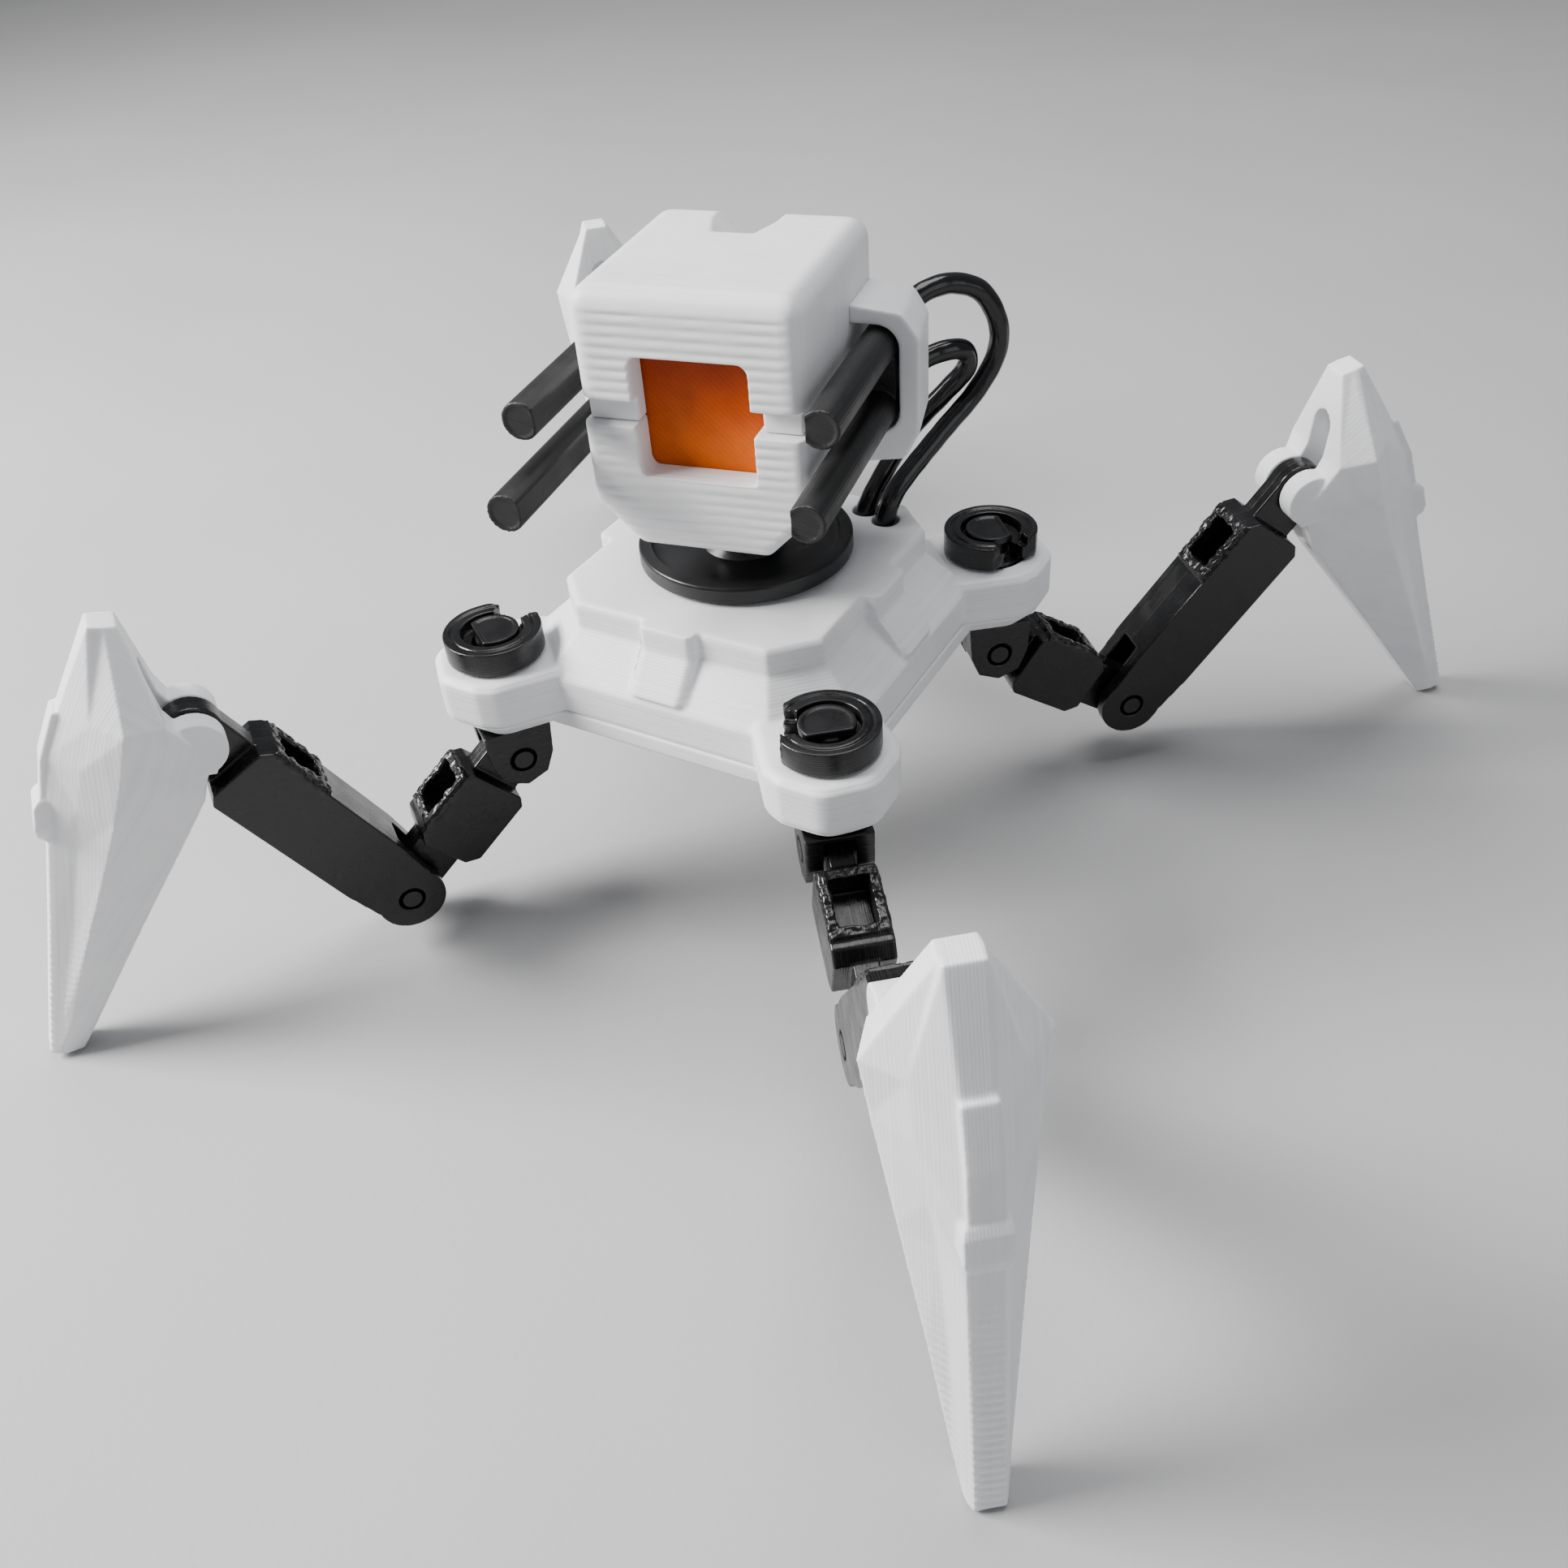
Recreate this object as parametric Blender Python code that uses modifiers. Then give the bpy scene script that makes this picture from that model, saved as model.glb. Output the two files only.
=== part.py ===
"""Posable four-legged spider robot, printed in snap-together pieces.

Units in this file are millimetres until a mesh is made; meshes are metres.
Body centre is X = Y = 0, robot front is -Y, the feet stand on Z = 0.
Legs: FL (-X, -Y), FR (+X, -Y), RR (+X, +Y), RL (-X, +Y).
"""
import math

import bmesh
import bpy
from mathutils import Matrix, Vector

MM = 0.001
GAP = 0.3                 # clearance between separate printed pieces

# ---- body -------------------------------------------------------------
BODY_HALF = 16.3          # outer side of the body
BODY_CORNER = 5.5         # octagon corner cut at the side
DECK_X, DECK_Y = 12.5, 12.9
DECK_CORNER = 3.4
Z_BELLY = 19.6            # underside of the belly plate
Z_SPLIT = 22.0            # joint between belly plate and upper shell
Z_SHOULDER = 24.9         # top of the vertical side
Z_STEP = 28.3             # foot of the deck step
Z_DECK = 30.7             # deck surface
WALL = 1.9
LOBE = 16.0               # hip axis offset in X and Y
Z_LOBE = 25.8             # top of the corner lobes
# ---- hip --------------------------------------------------------------
SHAFT_R = 2.9
BORE_R = 3.25
CLIP_R = 4.2
CLIP_H = 2.1
NECK_R = 1.6
HEAD_R = 2.25
Z_HIP = 16.0              # height of the hip pitch axis
HIP_OUT = 0.3             # hip pitch axis ahead of the lobe axis
# ---- legs -------------------------------------------------------------
L_LOWER = 16.8            # hip axis to knee axis
L_UPPER = 25.4            # knee axis to ankle axis
LINK_W = 5.0              # width of the links across the leg
LINK_T = 6.6              # depth of the links in the plane of the leg
TONGUE_W = 2.1
TONGUE_R = 2.5
SLOT_W = TONGUE_W + 2 * GAP
CHEEK_R = 3.1
PIN_R = 0.875
PIN_HOLE_R = 1.2
# ---- turret and head --------------------------------------------------
DISC_R = 9.2
DISC_T = 1.5
HUB_R = 3.0
HEAD_HALF = 9.0
HEAD_FRONT = 9.1
HEAD_BACK = 10.0
HEAD_Z0, HEAD_ZS, HEAD_Z1 = 35.7, 46.0, 56.4
BAND_Z = 47.9             # top of the recess above the jaw
HEAD_YAW = 10.5           # degrees, toward +X
GUN_X = 11.1
GUN_Z = (43.2, 48.4)      # lower and upper barrel
GUN_R = 1.5
GUN_ROOM = GUN_R + GAP
GUN_FRONT = {1: (16.0, 11.8), -1: (19.0, 14.6)}   # right and left muzzles
GUN_BACK = 10.2
BRACKET_Y = (2.9, 9.0)
HOSE_R = 0.875

# name, sign x, sign y, then degrees: leg heading, upper link rise, shin tilt
LEGS = (
    ("front_left", -1, -1, 235.0, 61.3, 15.3),
    ("front_right", 1, -1, 308.8, 52.0, 4.0),
    ("rear_right", 1, 1, 41.8, 52.2, 16.2),
    ("rear_left", -1, 1, 136.0, 39.0, 9.0),
)

for _o in list(bpy.data.objects):
    bpy.data.objects.remove(_o, do_unlink=True)

ROBOT = bpy.data.collections.new("spider_robot")
CUTTERS = bpy.data.collections.new("cutters")
bpy.context.scene.collection.children.link(ROBOT)
bpy.context.scene.collection.children.link(CUTTERS)


# ---- materials --------------------------------------------------------
def material(name, colour, roughness, metallic=0.0):
    m = bpy.data.materials.new(name)
    m.use_nodes = True
    b = m.node_tree.nodes["Principled BSDF"]
    b.inputs["Base Color"].default_value = (*colour, 1.0)
    b.inputs["Roughness"].default_value = roughness
    b.inputs["Metallic"].default_value = metallic
    m.diffuse_color = (*colour, 1.0)
    return m


def paint(name, kind):
    base = {
        "white": ((0.83, 0.83, 0.85), 0.45),
        "black": ((0.012, 0.012, 0.014), 0.32),
        "hose": ((0.008, 0.008, 0.009), 0.16),
        "orange": ((0.80, 0.16, 0.01), 0.35),
    }[kind]
    return material("mat_" + name, *base)


# ---- mesh tools -------------------------------------------------------
def obj_from(me, name="tmp", coll=None):
    o = bpy.data.objects.new(name, me)
    (coll or CUTTERS).objects.link(o)
    return o


def from_bm(bm, name="m"):
    bmesh.ops.recalc_face_normals(bm, faces=bm.faces)
    me = bpy.data.meshes.new(name)
    bm.to_mesh(me)
    bm.free()
    return me


def box(x0, x1, y0, y1, z0, z1):
    bm = bmesh.new()
    bmesh.ops.create_cube(bm, size=1.0)
    for v in bm.verts:
        v.co = Vector((
            (x0 if v.co.x < 0 else x1) * MM,
            (y0 if v.co.y < 0 else y1) * MM,
            (z0 if v.co.z < 0 else z1) * MM))
    return from_bm(bm)


def cyl(r, a, b, n=24, r2=None, axis="Z", at=(0.0, 0.0, 0.0)):
    """Cylinder or cone from a to b along the axis, passing through at."""
    bm = bmesh.new()
    bmesh.ops.create_cone(bm, cap_ends=True, segments=n, radius1=r * MM,
                          radius2=(r if r2 is None else r2) * MM,
                          depth=(b - a) * MM)
    turn = {"Z": Matrix.Identity(4),
            "X": Matrix.Rotation(math.pi / 2, 4, "Y"),
            "Y": Matrix.Rotation(-math.pi / 2, 4, "X")}[axis]
    half = Matrix.Rotation(math.pi / n, 4, "Z")
    mid = Matrix.Translation((0, 0, (a + b) / 2 * MM))
    bm.transform(Matrix.Translation([c * MM for c in at]) @ turn @ mid @ half)
    return from_bm(bm)


def outline(pts, z0, z1):
    """Flat closed outline as a 2D curve, thickened from z0 to z1."""
    cu = bpy.data.curves.new("outline", "CURVE")
    cu.dimensions = "2D"
    cu.fill_mode = "BOTH"
    cu.extrude = (z1 - z0) / 2 * MM
    sp = cu.splines.new("POLY")
    sp.points.add(len(pts) - 1)
    for p, (x, y) in zip(sp.points, pts):
        p.co = (x * MM, y * MM, 0.0, 1.0)
    sp.use_cyclic_u = True
    o = bpy.data.objects.new("outline", cu)
    CUTTERS.objects.link(o)
    bpy.context.view_layer.update()
    me = bpy.data.meshes.new_from_object(
        o.evaluated_get(bpy.context.evaluated_depsgraph_get()))
    bpy.data.objects.remove(o, do_unlink=True)
    bm = bmesh.new()
    bm.from_mesh(me)
    bmesh.ops.remove_doubles(bm, verts=bm.verts, dist=1e-6)
    bm.transform(Matrix.Translation((0, 0, (z0 + z1) / 2 * MM)))
    return from_bm(bm)


def loft(rings):
    """Skin between closed rings of equal point count, with flat ends."""
    bm = bmesh.new()
    rows = [[bm.verts.new(Vector(p) * MM) for p in r] for r in rings]
    n = len(rows[0])
    for a, b in zip(rows, rows[1:]):
        for i in range(n):
            j = (i + 1) % n
            bm.faces.new((a[i], a[j], b[j], b[i]))
    bm.faces.new(list(reversed(rows[0])))
    bm.faces.new(rows[-1])
    return from_bm(bm)


def moved(me, m):
    c = me.copy()
    c.transform(m)
    if m.determinant() < 0:
        c.flip_normals()
    return c


def shift(me, x=0.0, y=0.0, z=0.0):
    return moved(me, Matrix.Translation((x * MM, y * MM, z * MM)))


def turn(me, deg, axis="Z"):
    return moved(me, Matrix.Rotation(math.radians(deg), 4, axis))


def combine(base, *ops):
    """Run (operation, mesh) pairs on base with exact Booleans."""
    o = obj_from(base.copy(), "base")
    cut = []
    for kind, me in ops:
        c = obj_from(me, "cutter")
        c.hide_render = True
        c.display_type = "WIRE"
        m = o.modifiers.new(kind, "BOOLEAN")
        m.operation = kind
        m.solver = "EXACT"
        m.object = c
        cut.append(c)
    bpy.context.view_layer.update()
    me = bpy.data.meshes.new_from_object(
        o.evaluated_get(bpy.context.evaluated_depsgraph_get()))
    bpy.data.objects.remove(o, do_unlink=True)
    for c in cut:
        bpy.data.objects.remove(c, do_unlink=True)
    bm = bmesh.new()
    bm.from_mesh(me)
    bmesh.ops.remove_doubles(bm, verts=bm.verts, dist=2e-7)
    bmesh.ops.dissolve_degenerate(bm, dist=1e-7, edges=bm.edges)
    bm.to_mesh(me)
    bm.free()
    return me


def add(*meshes):
    return [("UNION", m) for m in meshes]


def sub(*meshes):
    return [("DIFFERENCE", m) for m in meshes]


def octagon(hx, hy, c, z):
    return [(hx, -hy + c, z), (hx, hy - c, z), (hx - c, hy, z),
            (-hx + c, hy, z), (-hx, hy - c, z), (-hx, -hy + c, z),
            (-hx + c, -hy, z), (hx - c, -hy, z)]


def inset(pts, d):
    """Offset a counter-clockwise outline inward by d."""
    out = []
    n = len(pts)
    for i in range(n):
        p0, p1, p2 = (Vector(pts[(i + k) % n]) for k in (-1, 0, 1))
        e0, e1 = (p1 - p0).normalized(), (p2 - p1).normalized()
        n0, n1 = Vector((-e0.y, e0.x)), Vector((-e1.y, e1.x))
        b = (n0 + n1).normalized()
        out.append(tuple(p1 + b * (d / max(0.3, b.dot(n0)))))
    return out


def node(name, me, kind, parent, mat=None):
    """One named piece. The mesh is in its parent's frame."""
    o = bpy.data.objects.new(name, me)
    ROBOT.objects.link(o)
    o.parent = parent
    me.materials.clear()
    me.materials.append(mat or paint(name, kind))
    me.shade_smooth()
    me.set_sharp_from_angle(angle=math.radians(30))
    return o


def empty(name, parent, matrix):
    e = bpy.data.objects.new(name, None)
    ROBOT.objects.link(e)
    e.parent = parent
    e.matrix_local = matrix
    e.empty_display_size = 0.004
    return e


def at(x=0.0, y=0.0, z=0.0):
    return Matrix.Translation((x * MM, y * MM, z * MM))


# ---- body -------------------------------------------------------------
LOBE_PTS = [(9.4, 9.4), (16.0, 9.15), (20.6, 12.7), (21.3, 14.4),
            (21.3, 18.2), (18.2, 21.3), (14.4, 21.3), (12.7, 20.6),
            (9.15, 16.0)]


def lobe_loft(rings):
    """Corner lobe in the +X +Y quadrant; rings are (z, inset)."""
    return loft([[(x, y, z) for x, y in inset(LOBE_PTS, d)] for z, d in rings])


def four(me):
    """The four mirrored copies of a +X +Y quadrant shape."""
    return [moved(me, Matrix.Diagonal((sx, sy, 1, 1)))
            for _, sx, sy, *_ in LEGS]


def side_badge(depth, width=5.2):
    """Raised block that follows the deck step and the slope of one side."""
    o = depth
    prof = [(-DECK_Y + 2.0, Z_STEP - 2.6), (-DECK_Y + 2.0, Z_DECK),
            (-DECK_Y - o, Z_DECK), (-DECK_Y - o, Z_STEP + 0.35),
            (-BODY_HALF + 0.55 - o * 0.71, Z_SHOULDER + 0.35 + o * 0.3),
            (-BODY_HALF + 1.2, Z_SHOULDER + 0.1)]
    ch = 0.5
    rings = []
    for x, d in ((-width / 2, ch), (-width / 2 + ch, 0.0),
                 (width / 2 - ch, 0.0), (width / 2, ch)):
        rings.append([(x + 0.2, y + (d if i in (2, 3, 4) else 0.0), z)
                      for i, (y, z) in enumerate(prof)])
    return loft(rings)


def make_upper_shell():
    shell = loft([
        octagon(BODY_HALF, BODY_HALF, BODY_CORNER, Z_SPLIT),
        octagon(BODY_HALF, BODY_HALF, BODY_CORNER, Z_SHOULDER),
        octagon(DECK_X, DECK_Y, DECK_CORNER, Z_STEP),
        octagon(DECK_X, DECK_Y, DECK_CORNER, Z_DECK - 0.35),
        octagon(DECK_X - 0.35, DECK_Y - 0.35, DECK_CORNER - 0.15, Z_DECK)])
    lobe = lobe_loft([(Z_SPLIT, 0.0), (Z_LOBE - 0.5, 0.0), (Z_LOBE, 0.5)])
    badge = side_badge(0.9)
    badges = [badge, turn(badge, 180), turn(badge, 90), turn(badge, -90)]
    room = loft([
        octagon(BODY_HALF - WALL, BODY_HALF - WALL, 6.6, Z_SPLIT - 1.0),
        octagon(BODY_HALF - WALL, BODY_HALF - WALL, 6.6, Z_SHOULDER - 0.9),
        octagon(DECK_X - WALL, DECK_Y - WALL, 3.4, Z_STEP - 0.4),
        octagon(DECK_X - WALL, DECK_Y - WALL, 3.4, Z_DECK - 2.0)])
    bores = [cyl(BORE_R, Z_SPLIT - 1, Z_LOBE + 1, 28, at=(sx * LOBE, sy * LOBE, 0))
             for _, sx, sy, *_ in LEGS]
    hub = cyl(HUB_R + GAP + 0.05, Z_DECK - 4, Z_DECK + 1, 32)
    holes = [cyl(HOSE_R + GAP + 0.05, Z_DECK - 4, Z_DECK + 1, 12, at=(x, y, 0))
             for x, y in (HOSE_OUT_HOLE, HOSE_IN_HOLE)]
    return combine(shell, *add(*four(lobe), *badges),
                   *sub(room, *bores, hub, *holes))


def make_belly_plate():
    top = Z_SPLIT - GAP
    plate = loft([
        octagon(BODY_HALF - 0.6, BODY_HALF - 0.6, BODY_CORNER, Z_BELLY),
        octagon(BODY_HALF + 0.1, BODY_HALF + 0.1, BODY_CORNER, Z_BELLY + 0.6),
        octagon(BODY_HALF + 0.1, BODY_HALF + 0.1, BODY_CORNER, top)])
    lobe = lobe_loft([(Z_BELLY, 2.0), (top - 0.2, 0.1), (top, 0.1)])
    lip = loft([octagon(13.9, 13.9, 6.6, top - 0.5),
                octagon(13.9, 13.9, 6.6, top + 1.5)])
    well = loft([octagon(12.4, 12.4, 6.0, Z_BELLY + 1.2),
                 octagon(12.4, 12.4, 6.0, top + 3.0)])
    bores = [cyl(BORE_R, Z_BELLY - 1, top + 2, 28, at=(sx * LOBE, sy * LOBE, 0))
             for _, sx, sy, *_ in LEGS]
    return combine(plate, *add(*four(lobe), lip), *sub(well, *bores))


# ---- hip --------------------------------------------------------------
def make_hip_yoke():
    """Local frame: lobe axis is Z through the origin, leg heads along +X.
    Z is the world height."""
    top = Z_LOBE
    z_cheek = Z_BELLY - GAP
    shaft = cyl(SHAFT_R, z_cheek - 0.6, top, 28)
    neck = cyl(NECK_R, top - 0.5, top + GAP + 1.5, 20)
    head = cyl(HEAD_R, top + GAP + 1.4, top + GAP + CLIP_H, 24)
    block = outline([(HIP_OUT - 3.0, z_cheek), (HIP_OUT - 2.75, Z_HIP),
                     (HIP_OUT - 1.95, Z_HIP - 1.95), (HIP_OUT, Z_HIP - 2.75),
                     (HIP_OUT + 1.95, Z_HIP - 1.95), (HIP_OUT + 2.75, Z_HIP),
                     (HIP_OUT + 3.0, z_cheek)], -LINK_W / 2 - 0.3, LINK_W / 2 + 0.3)
    block = turn(block, 90, "X")
    slot = box(HIP_OUT - 5, HIP_OUT + 5, -SLOT_W / 2, SLOT_W / 2,
               Z_HIP - 5, Z_HIP + TONGUE_R + GAP)
    flat = box(1.35, 4, -4, 4, top + GAP + 1.4, top + 6)
    pin = cyl(PIN_HOLE_R, -5, 5, 12, axis="Y", at=(HIP_OUT, 0, Z_HIP))
    return combine(shaft, *add(neck, head, block), *sub(slot, flat, pin))


def make_clip():
    """Retaining C-clip, opening toward +X, underside on Z = 0."""
    ring = cyl(CLIP_R, 0.0, CLIP_H, 40)
    bore = cyl(NECK_R + GAP, -1.0, CLIP_H + 1, 20)
    bowl = cyl(HEAD_R + 0.45, 1.05, CLIP_H + 1, 24)
    mouth = box(0, 6, -0.95, 0.95, -1, CLIP_H + 1)
    flat = box(3.45, 6, -6, 6, -1, CLIP_H + 1)
    notch = box(2.4, 6, -1.5, 1.5, 1.2, CLIP_H + 1)
    return combine(ring, *sub(bore, bowl, mouth, flat, notch))


# ---- links ------------------------------------------------------------
def make_lower_link():
    """Hip axis at the origin, knee axis at +X, upper face +Z, width along Y."""
    x0, x1 = 3.5, L_LOWER - 5.2
    h = LINK_T / 2
    body = outline([(x0, -h + 0.7), (x0 + 0.7, -h), (x1 - 1.0, -h),
                    (x1, -h + 1.0), (x1, h - 1.0), (x1 - 1.0, h),
                    (x0 + 0.7, h), (x0, h - 0.7)], -LINK_W / 2, LINK_W / 2)
    body = turn(body, 90, "X")
    spine = box(0, L_LOWER, -TONGUE_W / 2, TONGUE_W / 2, -TONGUE_R + 0.1, TONGUE_R - 0.1)
    ends = [cyl(TONGUE_R, -TONGUE_W / 2, TONGUE_W / 2, 24, axis="Y", at=(x, 0, 0))
            for x in (0.0, L_LOWER)]
    rim = box(x0 + 0.5, x0 + 6.3, -LINK_W / 2 + 0.15, LINK_W / 2 - 0.15, h - 1, h + 0.35)
    window = box(x0 + 1.3, x0 + 5.4, -1.6, 1.6, h - 2.4, h + 2)
    holes = [cyl(PIN_HOLE_R, -4, 4, 12, axis="Y", at=(x, 0, 0))
             for x in (0.0, L_LOWER)]
    return combine(body, *add(spine, *ends, rim), *sub(window, *holes))


def make_upper_link():
    """Knee axis at the origin, ankle axis at +X, inner/upper face +Z."""
    h = LINK_T / 2
    xs, x1 = 5.0, L_UPPER - 4.2
    body = outline([(0.5, -CHEEK_R + 0.15), (xs, -h), (x1 - 0.8, -h), (x1, -h + 0.8),
                    (x1, h - 0.8), (x1 - 0.8, h), (xs, h), (0.5, CHEEK_R - 0.15)],
                   -LINK_W / 2 - 0.3, LINK_W / 2 + 0.3)
    body = turn(body, 90, "X")
    hub = cyl(CHEEK_R, -LINK_W / 2 - 0.3, LINK_W / 2 + 0.3, 24, axis="Y")
    tongue = box(x1 - 1, L_UPPER, -TONGUE_W / 2, TONGUE_W / 2, -TONGUE_R + 0.1, TONGUE_R - 0.1)
    tip = cyl(TONGUE_R, -TONGUE_W / 2, TONGUE_W / 2, 24, axis="Y", at=(L_UPPER, 0, 0))
    rim = box(x1 - 7.2, x1 - 1.0, -LINK_W / 2 - 0.1, LINK_W / 2 + 0.1, h - 1, h + 0.4)
    window = box(x1 - 6.2, x1 - 2.0, -1.7, 1.7, h - 3.0, h + 2)
    slot = box(-5, xs, -SLOT_W / 2, SLOT_W / 2, -6, 6)
    holes = [cyl(PIN_HOLE_R, -4, 4, 12, axis="Y", at=(x, 0, 0))
             for x in (0.0, L_UPPER)]
    return combine(body, *add(hub, tongue, tip, rim), *sub(slot, window, *holes))


# ---- shin -------------------------------------------------------------
SHIN_Z = (10.2, 3.0, -1.0, -5.0, -31.0)
FOOT_U = (10.0, 12.7)     # back and front of the foot
EAR_W = 3.4               # outer face of the ankle ears


def shin_ring(z, uf, wf, ul, wl, ub, wb, zl=None):
    return [(uf, -wf, z), (uf, wf, z), (ul, wl, z), (ub, wb, z),
            (ub, -wb, z), (ul, -wl, z)]


def make_shin():
    """Ankle axis is Y through the origin, outward is +X, up is +Z."""
    top, mid, low, step, foot = SHIN_Z
    shell = loft([
        shin_ring(foot, FOOT_U[1], 1.1, 11.4, 1.45, FOOT_U[0], 1.1),
        shin_ring(step, 10.9, 1.1, 6.2, 4.55, -0.5, 2.9),
        shin_ring(low, 10.6, 0.9, 5.6, 5.05, -1.0, 3.2),
        shin_ring(mid, 9.4, 0.9, 5.2, 5.5, 2.2, 4.3),
        shin_ring(top, 6.9, 1.2, 5.8, 1.3, 4.8, 1.2)])
    strip = loft([[(x, -w, z), (x, w, z), (b, w, z), (b, -w, z)] for x, w, z, b in (
        (11.2, 0.9, -8.5, 8.0), (11.7, 1.35, -7.7, 8.0), (11.65, 1.35, -4.9, 8.0),
        (11.25, 1.15, -4.4, 8.0), (10.95, 1.15, -1.0, 8.0), (9.75, 1.15, 3.2, 6.0))])
    ears = [cyl(2.4, 1.35 if s > 0 else -EAR_W, EAR_W if s > 0 else -1.35, 24,
                axis="Y", at=(0, 0, 0)) for s in (1, -1)]
    fill = [box(-1.5, 5.0, 1.35 if s > 0 else -EAR_W, EAR_W if s > 0 else -1.35, -2.3, 1.2)
            for s in (1, -1)]
    slot = box(-6.0, 4.6, -SLOT_W / 2, SLOT_W / 2, -7.0, 5.2)
    arch = cyl(SLOT_W / 2, -6.0, 4.6, 20, axis="X", at=(0, 0, 5.2))
    pin = cyl(PIN_HOLE_R, -EAR_W + 0.5, EAR_W - 0.5, 12, axis="Y")
    return combine(shell, *add(strip, *ears, *fill), *sub(slot, arch, pin))


def make_pin(half):
    return cyl(PIN_R, -half, half, 16, axis="Y")


# ---- turret and head --------------------------------------------------
def turned(profile, steps=40):
    """Turned solid from an (r, z) profile that runs top to bottom."""
    bm = bmesh.new()
    vs = [bm.verts.new((r * MM, 0, z * MM)) for r, z in profile]
    for a, b in zip(vs, vs[1:]):
        bm.edges.new((a, b))
    me = bpy.data.meshes.new("profile")
    bm.to_mesh(me)
    bm.free()
    o = obj_from(me, "turned")
    m = o.modifiers.new("screw", "SCREW")
    m.steps = steps
    m.render_steps = steps
    m.use_merge_vertices = True
    m.merge_threshold = 1e-5
    bpy.context.view_layer.update()
    me = bpy.data.meshes.new_from_object(
        o.evaluated_get(bpy.context.evaluated_depsgraph_get()))
    bpy.data.objects.remove(o, do_unlink=True)
    bm = bmesh.new()
    bm.from_mesh(me)
    bmesh.ops.remove_doubles(bm, verts=bm.verts, dist=1e-6)
    return from_bm(bm)


def make_turret_disc():
    z0 = Z_DECK + GAP
    z1 = z0 + DISC_T
    return turned([(0, HEAD_Z0 + 1.6), (2.0, HEAD_Z0 + 1.6), (2.0, HEAD_Z0 - GAP),
                   (3.4, HEAD_Z0 - GAP), (3.0, z1 + 0.4), (3.6, z1 - 0.7),
                   (7.3, z1 - 0.5), (8.1, z1), (DISC_R - 0.3, z1),
                   (DISC_R, z1 - 0.3), (DISC_R, z0), (HUB_R, z0),
                   (HUB_R, Z_DECK - 2.0), (2.1, Z_DECK - 2.0), (2.1, Z_DECK - 3.9),
                   (HUB_R, Z_DECK - 3.9), (HUB_R, Z_DECK - 4.9), (2.4, Z_DECK - 5.4),
                   (0, Z_DECK - 5.4)])


def make_turret_clip():
    ring = cyl(4.8, Z_DECK - 3.6, Z_DECK - 2.0 - GAP, 32)
    bore = cyl(2.1 + GAP, Z_DECK - 6, Z_DECK, 20)
    mouth = box(0, 7, -1.6, 1.6, Z_DECK - 6, Z_DECK)
    return combine(ring, *sub(bore, mouth))


def head_profile(x, z0, z1, cut):
    return [(-x + cut, z0), (x - cut, z0), (x, z0 + cut), (x, z1), (-x, z1), (-x, z0 + cut)]


def make_head_upper():
    w, f, b = HEAD_HALF, -HEAD_FRONT, HEAD_BACK
    z0 = HEAD_ZS + GAP / 2
    c = 1.1
    rings = []
    for z, d in ((z0, 0.0), (HEAD_Z1 - c, 0.0), (HEAD_Z1 - 0.3 * c, 0.3 * c), (HEAD_Z1, c)):
        rings.append([(x, y, z) for x, y in inset(
            [(-w + c, f), (w - c, f), (w, f + c), (w, b - c), (w - c, b),
             (-w + c, b), (-w, b - c), (-w, f + c)], d)])
    shell = loft(rings)
    room = box(-w + 1.7, w - 1.7, f + 2.6, b - 1.7, z0 - 1, HEAD_Z1 - 1.7)
    window = box(-4.5, 4.9, f - 2, f + 4, z0 - 1, 51.5)
    wide = box(4.0, 5.5, f - 2, f + 4, z0 - 1, BAND_Z)
    band = box(-w - 1, w + 1, f - 1, f + 0.95, z0 - 1, BAND_Z)
    notch = loft([
        [(-2.0, b + 0.6, HEAD_Z1 - 2.5), (1.0, b + 0.6, HEAD_Z1 - 2.5),
         (2.7, b + 0.6, HEAD_Z1 + 0.4), (-3.8, b + 0.6, HEAD_Z1 + 0.4)],
        [(-2.2, b - 3.2, HEAD_Z1 - 0.02), (1.2, b - 3.2, HEAD_Z1 - 0.02),
         (2.2, b - 3.2, HEAD_Z1 + 0.5), (-3.3, b - 3.2, HEAD_Z1 + 0.5)]])
    return combine(shell, *sub(room, window, wide, band, notch))


def make_head_lower():
    w, f, b = HEAD_HALF, -HEAD_FRONT, HEAD_BACK
    z1 = HEAD_ZS - GAP / 2
    prof = head_profile(w, HEAD_Z0, z1, 3.6)
    c = 1.1
    rings = []
    for y, d in ((f, c), (f + c, 0.0), (b - c, 0.0), (b, c)):
        q = inset(prof, d)
        q = [(x, z1 if i in (3, 4) else z) for i, (x, z) in enumerate(q)]
        rings.append([(x, y, z) for x, z in q])
    shell = loft(rings)
    room = box(-w + 1.7, w - 1.7, f + 2.6, b - 1.7, HEAD_Z0 + 3.2, z1 + 1)
    window = box(-4.5, 5.0, f - 2, f + 4, 41.9, z1 + 1)
    peg = cyl(2.0 + GAP, HEAD_Z0 - 1, HEAD_Z0 + 4, 20)
    return combine(shell, *sub(room, window, peg))


def make_window_pane():
    f = -HEAD_FRONT
    return box(-5.5, 5.9, f + 2.6 + GAP, f + 3.7, 41.0, 52.4)


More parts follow.
